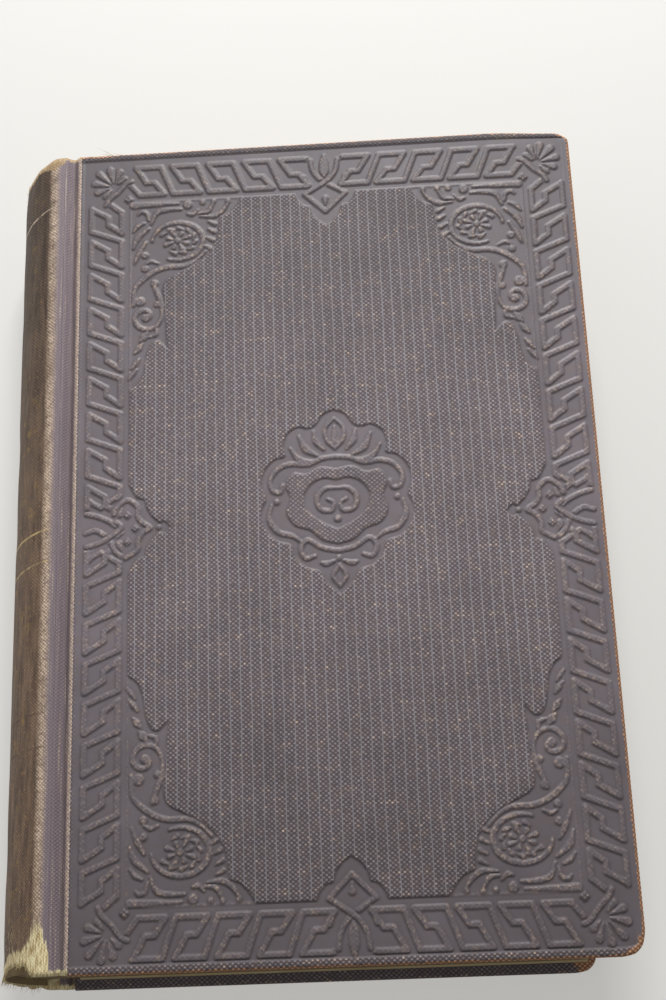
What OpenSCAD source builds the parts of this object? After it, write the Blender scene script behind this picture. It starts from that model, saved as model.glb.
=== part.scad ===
// A thick octavo bound in cloth over boards, closed and lying on its rear cover.
// Millimetres. +X is the fore-edge, -X the spine, +Y the head, -Y the tail and +Z up. The origin is the centre
// of the bounding box's lowest face. Every module draws in the book's own coordinates, with the front cover's
// joint edge at x = 0, its tail at y = 0 and the table at z = 0, and in_frame() moves the result to the origin.

/* [Covers] */
// Height of a cover, tail to head, over its cloth
cover_h = 237; // [150:1:320]
// Width of a cover, joint edge to fore-edge
cover_w = 148; // [100:1:220]
// Thickness of a board
board_t = 2.4; // [1.8:0.1:3.4]
// Thickness of the binding cloth
cloth_t = 0.4; // [0.3:0.05:0.5]
// Radius of a cover's fore-edge corners
corner_r = 3; // [1:0.5:8]
// Distance that the covers stand out past the leaves
square_w = 3; // [2:0.5:6]
// Width of the cloth turned in over a board's inner face
turn_in = 15; // [8:1:22]

/* [Stamping] */
// Depth of the pressed ground below the cloth's face
stamp_d = 0.2; // [0.1:0.02:0.25]
// Width of the rim that the stamping leaves round a cover
rim_w = 2.2; // [1:0.1:5]
// Distance from a cover's edges to the raised panel
panel_in = 15; // [10:0.5:20]

/* [Joint and spine] */
// Thickness of the closed book over both covers
book_t = 42; // [30:0.5:60]
// Distance from a cover's joint edge to the crest of the shoulder
shoulder_w = 8; // [6:0.5:12]
// Width of the joint groove
groove_w = 5; // [3:0.5:5.5]
// Depth of the joint groove below the cover's face
groove_d = 1.6; // [0.6:0.1:2]
// Distance that the rounded spine stands out past the shoulders
round_rise = 11; // [7:0.5:14]
// Thickness of the card inlay that stiffens the spine cloth
inlay_t = 0.6; // [0.4:0.1:1]
// Air between the inlay and the back lining
hollow_gap = 0.6; // [0.4:0.1:1.2]
// Thickness of the paper lining on the back
lining_t = 0.3; // [0.2:0.05:0.5]
// Thickness of the glued mull under the lining
mull_t = 0.3; // [0.2:0.05:0.5]

/* [Text block] */
// Number of sewn gatherings, an even number
gatherings = 24; // [16:2:30]
// Thickness of an endpaper
paper_t = 0.2; // [0.12:0.02:0.3]
// Leaves that turn where the text block opens
turning_leaves = 3; // [1:1:4]
// Space between two leaves that move past each other
leaf_gap = 0.1; // [0.05:0.01:0.15]
// Space between two gatherings
gathering_gap = 0.04; // [0.02:0.01:0.08]
// Length of the bend that lifts a gathering to the rounded back
bend_l = 7; // [4:0.5:12]

/* [Sewing] */
// Number of cords that the gatherings are sewn on
cord_count = 5; // [3:1:6]
// Diameter of a cord, sunk in the sawn grooves
cord_d = 1.4; // [1:0.1:2]
// Distance from an end of the leaves to the kettle stitch
kettle_inset = 14; // [8:1:25]

/* [Slump] */
// Distance that the front cover has slid past the rear one at the fore-edge
cock_x = 7.2; // [0:0.2:10]
// Distance that the front cover has slid past the rear one at the head
cock_y = 6.4; // [0:0.2:10]

/* [Hidden] */
turning_names = [for (k = [1:turning_leaves]) str("turning_leaf_", k)];
function two_digits(i) = i < 10 ? str("0", i) : str(i);
gathering_names = [for (i = [1:gatherings]) str("gathering_", two_digits(i))];

cloth_colour = [0.33, 0.27, 0.28];
spine_colour = [0.30, 0.23, 0.19];
board_colour = [0.62, 0.52, 0.36];
paper_colour = [0.86, 0.80, 0.66];
endpaper_colour = [0.80, 0.72, 0.56];
scrim_colour = [0.74, 0.68, 0.55];
cord_colour = [0.66, 0.57, 0.42];

arc_steps = 16;      // chords in each half of the spine's round
groove_steps = 10;   // chords across a joint groove
bend_steps = 4;      // chords in a gathering's bend
curve_steps = 3;     // chords between two points of a stamped outline
seam = 0.1;          // space between two pieces of cloth that meet edge to edge
hinge_in = 1.5;      // a flyleaf starts this far in from its cover's joint edge
pasted_inset = 3.5;  // a pastedown ends this far short of its cover's edges
margin = 2;          // overrun of a cutting solid

cover_t = board_t + 2 * cloth_t;
mid_z = book_t / 2;
shear_x = cock_x / book_t;
shear_y = cock_y / book_t;

// The spine's outer face is an arc over both shoulders' crests. What lies under it is given by its depth.
half_t = book_t / 2;
spine_r = (half_t * half_t + round_rise * round_rise) / (2 * round_rise);
spine_half_angle = asin(half_t / spine_r);
spine_cx = spine_r * cos(spine_half_angle) - shoulder_w;
inlay_depth = cloth_t;
lining_depth = inlay_depth + inlay_t + hollow_gap;
mull_depth = lining_depth + lining_t;
fold_depth = mull_depth + mull_t;

// The leaves lie between the endpapers, and the turning leaves between the two middle gatherings.
leaf_low_z = cover_t + 2 * paper_t + 2 * leaf_gap;
leaf_high_z = book_t - leaf_low_z;
turning_pitch = paper_t + leaf_gap;
turning_stack = turning_leaves * turning_pitch + leaf_gap;
half_count = gatherings / 2;

// Point of the rounded back at an angle above the horizontal, a depth under the spine's outer face
function back_point(depth, angle) =
    [spine_cx - (spine_r - depth) * cos(angle), mid_z + (spine_r - depth) * sin(angle)];
// The slump leans every piece between the covers towards the fore-edge as it rises
function slumped(p) = [p[0] - shear_x * (book_t - p[1]), p[1]];
function turned_over(p) = [p[0], book_t - p[1]];
function reversed(list) = [for (i = [len(list) - 1:-1:0]) list[i]];

leaf_l = cover_w - square_w - back_point(fold_depth, spine_half_angle)[0];
fold_pitch = spine_half_angle / half_count;
fold_r = (spine_r - fold_depth) * sin(fold_pitch / 2);
open_x = spine_cx - (spine_r - fold_depth) * sqrt(1 + shear_x * shear_x) - shear_x * half_t;
spine_x = spine_cx - spine_r * sqrt(1 + shear_x * shear_x) - shear_x * half_t;
centre_x = (spine_x + cover_w) / 2;
centre_y = (cover_h - cock_y) / 2;

module in_frame() translate([-centre_x, -centre_y, 0]) children();

// Turns what is drawn for the front cover over to the rear one, where the slump has left it
module at_rear() translate([-cock_x, -cock_y, book_t]) mirror([0, 0, 1]) children();

// A section in X and Z, run from one Y to another
module run_along_y(y0, y1) translate([0, y1, 0]) rotate([90, 0, 0]) linear_extrude(y1 - y0) children();

// Keeps what lies between two ends that lean with the slump: y0 and y1 are their places at the front cover
module lean_cut(y0, y1) {
    low = -margin;
    high = book_t + margin;
    intersection() {
        children();
        translate([spine_x - margin, 0, 0]) rotate([90, 0, 90])
            linear_extrude(cover_w - spine_x + 2 * margin)
                polygon([for (c = [[y0, low], [y1, low], [y1, high], [y0, high]])
                    [c[0] - shear_y * (book_t - c[1]), c[1]]]);
    }
}

// A slumped section run between two leaning ends
module leaning(points, y0, y1)
    lean_cut(y0, y1) run_along_y(y0 - cock_y - margin, y1 + margin)
        polygon([for (p = points) slumped(p)]);

// ---- covers, drawn as the front one ----

// A rectangle whose two fore-edge corners are round
module cover_outline(inset) {
    w = cover_w - inset;
    h = cover_h - 2 * inset;
    r = corner_r - inset;
    translate([0, inset]) {
        square([w - r, h]);
        translate([w - r, r]) square([r, h - 2 * r]);
        for (y = [r, h - r]) translate([w - r, y]) circle(r, $fn = 48);
    }
}

module board_solid() translate([0, 0, book_t - cloth_t - board_t]) linear_extrude(board_t)
    cover_outline(cloth_t);

// The part of a board's inner face that the turned-in cloth leaves bare
module bare_window(grow) translate([-grow, turn_in, 0])
    square([cover_w - turn_in + grow, cover_h - 2 * turn_in]);

// ---- stamping ----

// The ornament is drawn for a panel of its own size, and follows the real one
panel_w = cover_w - 2 * panel_in;
panel_h = cover_h - 2 * panel_in;
panel_scale = [panel_w / 118, panel_h / 205];

// Point between p1 and p2 on a smooth line through four points
function between(p0, p1, p2, p3, t) = (2 * p1 + (p2 - p0) * t + (2 * p0 - 5 * p1 + 4 * p2 - p3) * t * t
    + (3 * p1 - p0 - 3 * p2 + p3) * t * t * t) / 2;
function smooth_line(p) = let (n = len(p) - 1) concat(
    [for (i = [0:n - 1], k = [0:curve_steps - 1])
        between(p[max(i - 1, 0)], p[i], p[i + 1], p[min(i + 2, n)], k / curve_steps)], [p[n]]);
function across(list) = [for (p = reversed(list)) [-p[0], p[1]]];
function along(list) = [for (p = reversed(list)) [p[0], -p[1]]];

// The leafy field in a corner of the panel meets the raised part along three lobes
corner_field = concat(
    smooth_line([[-1, 61], [4.2, 55], [6.3, 46.4], [9.9, 47]]),
    smooth_line([[11.1, 48.4], [10.2, 34], [11.2, 25.8], [19.7, 21.2], [25.8, 14.1], [27.1, 6.2]]),
    smooth_line([[30.1, 5], [33, -1]]), [[-1, -1]]);
// Half of the field of a side's knot, and of an end's finial, from the middle out
side_half = smooth_line([[12, 0], [10.4, 1.8], [6.8, 3.3], [4.8, 8.2], [-0.5, 14]]);
end_half = smooth_line([[0, 11.4], [4.1, 7.6], [6.8, 4.4], [9.5, -0.5]]);
// Half of the middle cartouche, head to tail, and of the island that stands in it
cartouche_half = concat(
    smooth_line([[0, 27], [6.4, 21.8], [13.6, 20.2], [14.4, 13.6]]),
    smooth_line([[17.6, 12.6], [21.2, 5.2], [20, 1.2]]),
    smooth_line([[21.4, -2.2], [17.2, -11], [12.6, -12.8], [9, -19], [3.6, -23.4], [0, -27]]));
island_half = smooth_line([[0, 9.2], [8.6, 8.2], [14.2, 5.4], [14, -3], [7.8, -8.4], [0, -12.6]]);

module panel_place(x, y, flip_x, flip_y) translate([x, y]) scale(panel_scale)
    mirror([flip_x, 0]) mirror([0, flip_y]) children();

module raised_panel() difference() {
    translate([panel_in, panel_in]) square([panel_w, panel_h]);
    for (fx = [0, 1], fy = [0, 1])
        panel_place(panel_in + fx * panel_w, panel_in + fy * panel_h, fx, fy) polygon(corner_field);
    for (f = [0, 1]) {
        panel_place(panel_in + f * panel_w, cover_h / 2, f, 0) polygon(concat(side_half, along(side_half)));
        panel_place(cover_w / 2, panel_in + f * panel_h, 0, f) polygon(concat(end_half, across(end_half)));
    }
    difference() {
        panel_place(cover_w / 2, cover_h / 2, 0, 0) polygon(concat(cartouche_half, across(cartouche_half)));
        panel_place(cover_w / 2, cover_h / 2, 0, 0) polygon(concat(island_half, across(island_half)));
    }
}

// All that the heated brass presses down: the border between the rim and the panel, and the panel's fields
module pressed_ground() difference() {
    translate([rim_w, rim_w]) square([cover_w - 2 * rim_w, cover_h - 2 * rim_w]);
    raised_panel();
}

module cover_cloth_solid() difference() {
    translate([0, 0, book_t - cover_t]) linear_extrude(cover_t) cover_outline(0);
    translate([0, 0, book_t - stamp_d]) linear_extrude(margin) pressed_ground();
    board_solid();
    translate([0, 0, book_t - cover_t - margin]) linear_extrude(margin + 2 * cloth_t) bare_window(margin);
}

// The pastedown dips into the bare window between the turn-ins
module pastedown_solid() {
    translate([hinge_in, pasted_inset, book_t - cover_t - paper_t])
        cube([cover_w - hinge_in - pasted_inset, cover_h - 2 * pasted_inset, paper_t]);
    translate([hinge_in, turn_in, book_t - cover_t - paper_t])
        cube([cover_w - turn_in - hinge_in, cover_h - 2 * turn_in, paper_t + cloth_t]);
}

module flyleaf_solid()
    translate([hinge_in, square_w, book_t - cover_t - 2 * paper_t - leaf_gap])
        cube([cover_w - square_w - hinge_in, cover_h - 2 * square_w, paper_t]);

// ---- joint and spine ----

function groove_depth(x) = groove_d * (1 - cos(360 * x / groove_w)) / 2;
groove_line = [for (i = [0:groove_steps])
    let (x = -seam - (groove_w - seam) * i / groove_steps) [x, book_t - groove_depth(x)]];

module joint_cloth_solid() {
    section = concat(groove_line, [for (p = reversed(groove_line)) [p[0], p[1] - cloth_t]]);
    run_along_y(0, cover_h) polygon(section);
}

// A band of the round between two depths, short of both shoulders by a number of chords
function round_line(depth, short) = [for (i = [short - arc_steps:arc_steps - short])
    back_point(depth, spine_half_angle * i / arc_steps)];
function round_band(outer, inner, short) =
    concat(round_line(outer, short), reversed(round_line(inner, short)));

// Spine cloth: over the round, then across each shoulder to the joint groove
function shoulder_end(z) = [-groove_w - seam, z];
module spine_cloth() color(spine_colour) in_frame() leaning(
    concat([turned_over(shoulder_end(book_t))], round_line(0, 0), [shoulder_end(book_t)],
        [shoulder_end(book_t - cloth_t)], reversed(round_line(cloth_t, 0)),
        [turned_over(shoulder_end(book_t - cloth_t))]),
    0, cover_h);

module spine_inlay() color(board_colour) in_frame()
    leaning(round_band(inlay_depth, inlay_depth + inlay_t, 1), cloth_t, cover_h - cloth_t);

module back_lining() color(paper_colour) in_frame()
    leaning(round_band(lining_depth, mull_depth, 1), square_w, cover_h - square_w);

module mull() color(scrim_colour) in_frame()
    leaning(round_band(mull_depth, fold_depth, 1), square_w + kettle_inset / 2,
        cover_h - square_w - kettle_inset / 2);

// ---- text block ----

// Angle of fold boundary k of a half, and its height in the flat of the leaves
open_angle = asin(turning_stack / (spine_r - fold_depth));
function low_angle(k) = -spine_half_angle * (1 - k / half_count);
function low_z(k) = leaf_low_z + (mid_z - leaf_low_z) * k / half_count;
function high_angle(k) = open_angle + (spine_half_angle - open_angle) * k / half_count;
function high_z(k) = mid_z + turning_stack + (leaf_high_z - mid_z - turning_stack) * k / half_count;

// One face of a gathering, from the fore-edge along the flat and round the bend to the fold
function leaf_face(angle, z) =
    let (end = back_point(fold_depth + fold_r, angle),
        run = abs(angle) < 1 ? 0 : (end[1] - z) * cos(angle) / sin(angle),
        knee = [end[0] + run, z],
        start = [knee[0] + bend_l, z])
    concat([[end[0] - fold_r + leaf_l, z]],
        [for (i = [0:bend_steps])
            let (t = i / bend_steps)
            (1 - t) * (1 - t) * start + 2 * t * (1 - t) * knee + t * t * end]);

// The rounded fold between two faces
function fold_tip(angle, radius) =
    let (centre = back_point(fold_depth + fold_r, angle))
    [for (a = [-60:30:60]) centre + radius * [-cos(angle + a), sin(angle + a)]];

function gathering_section(i) =
    let (low = i <= half_count,
        k = low ? i : i - half_count,
        a0 = low ? low_angle(k - 1) : high_angle(k - 1),
        a1 = low ? low_angle(k) : high_angle(k),
        z0 = (low ? low_z(k - 1) : high_z(k - 1)) + gathering_gap / 2,
        z1 = (low ? low_z(k) : high_z(k)) - gathering_gap / 2,
        slack = gathering_gap / spine_r * 90 / PI)
    concat(leaf_face(a0 + slack, z0),
        fold_tip((a0 + a1) / 2, (spine_r - fold_depth) * sin((a1 - a0) / 2) - gathering_gap),
        reversed(leaf_face(a1 - slack, z1)));

// Places of the cords, evenly spaced between the kettle stitches
cord_ys = [for (i = [0:cord_count - 1])
    let (y0 = square_w + kettle_inset, y1 = cover_h - square_w - kettle_inset)
    y0 + (y1 - y0) * (i + 0.5) / cord_count];

// A cord lies flat against the folds, in a groove sawn across all of them
module cord_band(width, outer, inner)
    for (y = cord_ys) leaning(round_band(outer, inner, 1), y - width / 2, y + width / 2);

module gathering(i) color(paper_colour) in_frame() difference() {
    leaning(gathering_section(i), square_w, cover_h - square_w);
    cord_band(cord_d + 2 * seam, fold_depth - seam, fold_depth + cord_d);
}

module sewing_cords() color(cord_colour) in_frame()
    cord_band(cord_d, fold_depth, fold_depth + cord_d - seam);

// A turning leaf starts clear of the sunk cords
module turning_leaf(k) color(paper_colour) in_frame() {
    inset = cord_d + leaf_gap;
    translate([back_point(fold_depth, 0)[0] - cock_x / 2 + inset, square_w - cock_y / 2,
            mid_z + leaf_gap + (k - 1) * turning_pitch])
        cube([leaf_l - fold_r - inset, cover_h - 2 * square_w, paper_t]);
}

module front_board() color(board_colour) in_frame() board_solid();
module front_cover_cloth() color(cloth_colour) in_frame() cover_cloth_solid();
module front_pastedown() color(endpaper_colour) in_frame() pastedown_solid();
module front_flyleaf() color(endpaper_colour) in_frame() flyleaf_solid();
module front_joint_cloth() color(cloth_colour) in_frame() joint_cloth_solid();
module rear_board() color(board_colour) in_frame() at_rear() board_solid();
module rear_cover_cloth() color(cloth_colour) in_frame() at_rear() cover_cloth_solid();
module rear_pastedown() color(endpaper_colour) in_frame() at_rear() pastedown_solid();
module rear_flyleaf() color(endpaper_colour) in_frame() at_rear() flyleaf_solid();
module rear_joint_cloth() color(cloth_colour) in_frame() at_rear() joint_cloth_solid();

front_board();
front_cover_cloth();
front_pastedown();
front_flyleaf();
front_joint_cloth();
spine_cloth();
spine_inlay();
back_lining();
mull();
sewing_cords();
rear_joint_cloth();
rear_flyleaf();
rear_pastedown();
rear_cover_cloth();
rear_board();
for (k = [1:turning_leaves]) turning_leaf(k);
for (i = [1:gatherings]) gathering(i);
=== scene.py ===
"""The looks of a thick octavo bound in blind-stamped cloth, lying closed on a table.

Every length in the classes is in millimetres, and is turned to metres where a mesh is written. A cover's own
coordinates run from its joint edge (x = 0) to the fore-edge and from its tail (y = 0) to the head.
"""

import logging
import math
import random
from dataclasses import dataclass, field
from enum import Enum
from functools import partial
from typing import Callable, Sequence

import bmesh
import bpy
import numpy as np
from mathutils import Matrix, Vector

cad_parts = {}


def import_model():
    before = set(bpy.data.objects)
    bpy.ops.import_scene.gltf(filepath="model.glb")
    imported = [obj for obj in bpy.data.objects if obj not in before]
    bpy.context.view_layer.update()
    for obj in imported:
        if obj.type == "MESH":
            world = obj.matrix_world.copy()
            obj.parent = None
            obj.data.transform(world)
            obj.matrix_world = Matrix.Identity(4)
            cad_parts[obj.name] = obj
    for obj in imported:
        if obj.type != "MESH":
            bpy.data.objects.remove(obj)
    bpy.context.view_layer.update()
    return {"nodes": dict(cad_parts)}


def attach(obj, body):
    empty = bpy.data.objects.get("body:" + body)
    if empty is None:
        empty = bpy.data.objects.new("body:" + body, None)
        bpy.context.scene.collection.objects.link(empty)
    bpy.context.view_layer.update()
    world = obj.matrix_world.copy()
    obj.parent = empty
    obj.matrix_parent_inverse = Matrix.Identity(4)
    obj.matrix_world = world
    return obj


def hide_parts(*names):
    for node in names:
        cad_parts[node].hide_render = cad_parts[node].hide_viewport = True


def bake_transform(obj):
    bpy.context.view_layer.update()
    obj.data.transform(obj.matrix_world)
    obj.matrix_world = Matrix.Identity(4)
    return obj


log = logging.getLogger("book")

MM = 0.001
SEED = 1869
TINY = 1e-6  # millimetres, for what lies on a line
NOISE = ("Vector", "Scale", "Detail", "Roughness")  # what a row of a noise table gives
Point = tuple[float, float]
Places = np.ndarray
Socket = bpy.types.NodeSocket
Adder = Callable[..., Socket]
Colours = tuple[tuple[Socket, str | Socket], ...]


# ---------------------------------------------------------------- small tools


def linear(colour: str, alpha: float = 1.0) -> tuple[float, ...]:
    """Turns an sRGB hex colour to linear red, green, blue and alpha."""
    parts = [int(colour[i : i + 2], 16) / 255 for i in (0, 2, 4)]
    return (*(p / 12.92 if p <= 0.04045 else ((p + 0.055) / 1.055) ** 2.4 for p in parts), alpha)


def smooth(low: float, high: float, value: np.ndarray) -> np.ndarray:
    """Goes smoothly from 0 at low to 1 at high."""
    t = np.clip((value - low) / (high - low), 0.0, 1.0)
    return t * t * (3 - 2 * t)


def add(
    tree: bpy.types.NodeTree, kind: str, inputs: dict, out: int | str | None = 0, **settings
) -> Socket | None:
    """Adds one shader node with its settings and links.

    Args:
        tree: The material's node tree.
        kind: The node's type, without its "ShaderNode".
        inputs: Each input's name or number, with a value, an sRGB hex colour or an output to link.
        out: The output to give back, or None for a node that has none.
        settings: The node's own properties.

    Returns:
        The chosen output.
    """
    node = tree.nodes.new("ShaderNode" + kind)
    for name, value in settings.items():
        setattr(node, name, value)
    for key, value in inputs.items():
        socket = node.inputs[key]
        if isinstance(value, Socket):
            tree.links.new(value, socket)
        elif isinstance(value, str):
            socket.default_value = linear(value)[: len(socket.default_value)]
        else:
            socket.default_value = value
    return None if out is None else node.outputs[out]


def new_material(name: str) -> tuple[bpy.types.Material, Adder]:
    """Makes an empty node material.

    Args:
        name: The material's name.

    Returns:
        The material, and what adds a node to it.
    """
    material = bpy.data.materials.new(name)
    material.use_nodes = True
    material.node_tree.nodes.clear()
    return material, partial(add, material.node_tree)


def each(node: Adder, kind: str, rows: Sequence[tuple], keys: Sequence[int | str] = range(5),
         **settings: str | bool) -> list[Socket]:
    """Adds one node for each row of inputs.

    A MapRange row is a value, the two ends of its range, and what each end gives.

    Args:
        node: Adds a node to the material.
        kind: The nodes' type.
        rows: The inputs of each one.
        keys: Which inputs a row gives, by name or number.
        settings: The nodes' own properties.

    Returns:
        Their first outputs.
    """
    return [node(kind, dict(zip(keys, row)), **settings) for row in rows]


def spline(points: Sequence[Sequence[float]], steps: int = 7) -> Places:
    """Runs a smooth Catmull-Rom line through points.

    Args:
        points: The points, each with any number of coordinates.
        steps: Chords between two points.

    Returns:
        The line's points.
    """
    p = np.array(points, float)
    if len(p) < 3:
        return p
    q = np.vstack([2 * p[0] - p[1], p, 2 * p[-1] - p[-2]])
    t = np.linspace(0, 1, steps, endpoint=False)[:, None]
    parts = []
    for a, b, c, d in zip(q, q[1:], q[2:], q[3:]):
        cubic = (2 * a - 5 * b + 4 * c - d) * t**2 + (3 * b - a - 3 * c + d) * t**3
        parts.append(0.5 * (2 * b + (c - a) * t + cubic))
    return np.vstack([*parts, p[-1:]])


def spiral(centre: Point, radii: Point, angles: Point, steps: int = 26) -> Places:
    """A spiral's points, from one radius and angle in degrees to another."""
    a = np.radians(np.linspace(*angles, steps))
    r = np.linspace(*radii, steps)
    return np.stack([centre[0] + r * np.cos(a), centre[1] + r * np.sin(a)], 1)


def mesh_object(name: str, bm: bmesh.types.BMesh, rounded: bool = True) -> bpy.types.Object:
    """Writes a bmesh to a new object and frees it.

    Args:
        name: The piece's name.
        bm: The bmesh, in metres.
        rounded: Whether its faces are shaded smooth.

    Returns:
        The new object.
    """
    mesh = bpy.data.meshes.new(name)
    bm.to_mesh(mesh)
    bm.free()
    mesh.polygons.foreach_set("use_smooth", [rounded] * len(mesh.polygons))
    piece = bpy.data.objects.new(name, mesh)
    bpy.context.scene.collection.objects.link(piece)
    return piece


def coordinates(piece: bpy.types.Object) -> Places:
    """A mesh's vertices, in millimetres."""
    flat = np.empty(len(piece.data.vertices) * 3, np.float32)
    piece.data.vertices.foreach_get("co", flat)
    return flat.reshape(-1, 3).astype(float) / MM


def set_attribute(piece: bpy.types.Object, name: str, values: np.ndarray) -> None:
    """Gives each vertex of a piece a number that its material reads."""
    attribute = piece.data.attributes.new(name, "FLOAT", "POINT")
    attribute.data.foreach_set("value", np.ascontiguousarray(values, np.float32))


def ripple(places: np.ndarray, wavelength: float, seed: int) -> np.ndarray:
    """A smooth random swell, about -1 to 1, from a few sine waves in random directions.

    Args:
        places: Places as rows of coordinates, in millimetres.
        wavelength: The middle wavelength, in millimetres.
        seed: Picks the directions and phases.

    Returns:
        One number for each place.
    """
    rng = np.random.default_rng(seed)
    total = np.zeros(len(places))
    for _ in range(9):
        direction = rng.normal(size=places.shape[1])
        direction /= np.linalg.norm(direction)
        scale = 2 * math.pi / (wavelength * rng.uniform(0.6, 1.7))
        total += np.sin(places @ direction * scale + rng.uniform(0, 2 * math.pi))
    return total / 3.2


# ---------------------------------------------------------------- frame


@dataclass(frozen=True)
class Volume:
    """The closed book's main sizes, and where its own coordinates lie in the frame."""

    cover_w: float = 148.0
    cover_h: float = 237.0
    book_t: float = 42.0
    cloth_t: float = 0.4
    board_t: float = 2.4
    corner_r: float = 3.0
    shoulder_w: float = 8.0
    groove_w: float = 5.0
    groove_d: float = 1.6
    round_rise: float = 11.0
    cock_x: float = 7.2
    cock_y: float = 6.4
    turn_in: float = 15.0
    origin: Point = (-62.5137, -115.3)

    @property
    def spine_r(self) -> float:
        """Radius of the spine's outer face."""
        half = self.book_t / 2
        return (half * half + self.round_rise**2) / (2 * self.round_rise)

    @property
    def half_angle(self) -> float:
        """Half of the angle that the spine's round takes up, in radians."""
        return math.asin(self.book_t / 2 / self.spine_r)

    @property
    def spine_cx(self) -> float:
        """Middle of the round."""
        return self.spine_r * math.cos(self.half_angle) - self.shoulder_w

    def back(self, depth: float, angle: float) -> Point:
        """A point of the rounded back, a depth under the spine's outer face."""
        r = self.spine_r - depth
        return self.spine_cx - r * math.cos(angle), self.book_t / 2 + r * math.sin(angle)

    def lean(self, places: Places) -> Places:
        """Leans places with the slump: the front cover has slid towards the head and the fore-edge."""
        p = np.array(places, float)
        up = (self.book_t - p[:, 2]) / self.book_t
        p[:, 0] -= self.cock_x * up
        p[:, 1] -= self.cock_y * up
        return p

    def in_frame(self, places: Places) -> Places:
        """Turns the book's coordinates to metres in the frame."""
        return (np.asarray(places, float) + (*self.origin, 0.0)) * MM

    def turned_over(self, places: Places) -> Places:
        """Turns what is drawn for the front cover over to the rear one."""
        p = np.array(places, float)
        return np.stack([p[:, 0] - self.cock_x, p[:, 1] - self.cock_y, self.book_t - p[:, 2]], 1)


BOOK = Volume()


class Side(Enum):
    """Which half of the case a piece belongs to, with the body that carries its cover."""

    FRONT = ("front", "front_cover")
    REAR = ("rear", "rear_half")

    @property
    def label(self) -> str:
        """The word that its pieces' names start with."""
        return self.value[0]

    @property
    def body(self) -> str:
        """The body that its cover rides on."""
        return self.value[1]


def places_of(bm: bmesh.types.BMesh) -> Places:
    """The vertices' places."""
    return np.array([v.co for v in bm.verts], float)


def put(bm: bmesh.types.BMesh, places: Places) -> None:
    """Moves the vertices to new places."""
    for vert, place in zip(bm.verts, places):
        vert.co = place


def made_of(geometry: Sequence, kind: type) -> list:
    """Picks the vertices or the edges from what a bmesh operator has made."""
    return [item for item in geometry if isinstance(item, kind)]


def grid(columns: int, rows: int) -> bmesh.types.BMesh:
    """A flat grid whose vertices run along x first, to be put in place."""
    bm = bmesh.new()
    bmesh.ops.create_grid(bm, x_segments=columns - 1, y_segments=rows - 1, size=1.0)
    bm.verts.ensure_lookup_table()
    return bm


# ---------------------------------------------------------------- finishes


def lattice(node: Adder, across: Socket, along: Socket, pitch: Point) -> Socket:
    """Draws the bead grain: dots in rows, with each row set half a bead over from the last.

    Args:
        node: Adds a node to the material.
        across: Millimetres across the cloth.
        along: Millimetres along it.
        pitch: Distance to the next bead in a row, and to the next row but one.

    Returns:
        0 between the beads and 1 on them.
    """
    waves = []
    for way, step in ((across, pitch[0]), (along, pitch[1])):
        turn = node("Math", {0: way, 1: 2 * math.pi / step}, operation="MULTIPLY")
        waves.append(node("Math", {0: turn}, operation="COSINE"))
    both = node("Math", {0: waves[0], 1: waves[1]}, operation="MULTIPLY")
    return node("MapRange", {0: both, 1: -0.3, 2: 0.85}, interpolation_type="SMOOTHSTEP")


def coated(node: Adder, colour: str | Socket, coats: Colours) -> Socket:
    """Lays colours over a first one, each as thick as its mask says.

    Args:
        node: Adds a node to the material.
        colour: The colour below.
        coats: Each coat's mask and colour, from the lowest up.

    Returns:
        The colour on top.
    """
    for mask, coat in coats:
        colour = node("Mix", {0: mask, 6: colour, 7: coat}, 2, data_type="RGBA")
    return colour


def finished(material: bpy.types.Material, node: Adder, colour: Socket,
             roughness: float | Socket, height: Socket, strength: float,
             distance: float) -> bpy.types.Material:
    """Gives a material its surface.

    Args:
        material: The material.
        node: Adds a node to it.
        colour: Its colour.
        roughness: Its roughness.
        height: Its relief, from 0 to 1.
        strength: How strongly the relief shows.
        distance: The relief's depth, in millimetres.

    Returns:
        The material.
    """
    bump = node("Bump", {"Height": height, "Strength": strength, "Distance": distance * MM}, "Normal")
    shader = node("BsdfPrincipled", {"Base Color": colour, "Roughness": roughness, "Normal": bump})
    node("OutputMaterial", {0: shader}, None)
    return material


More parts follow.
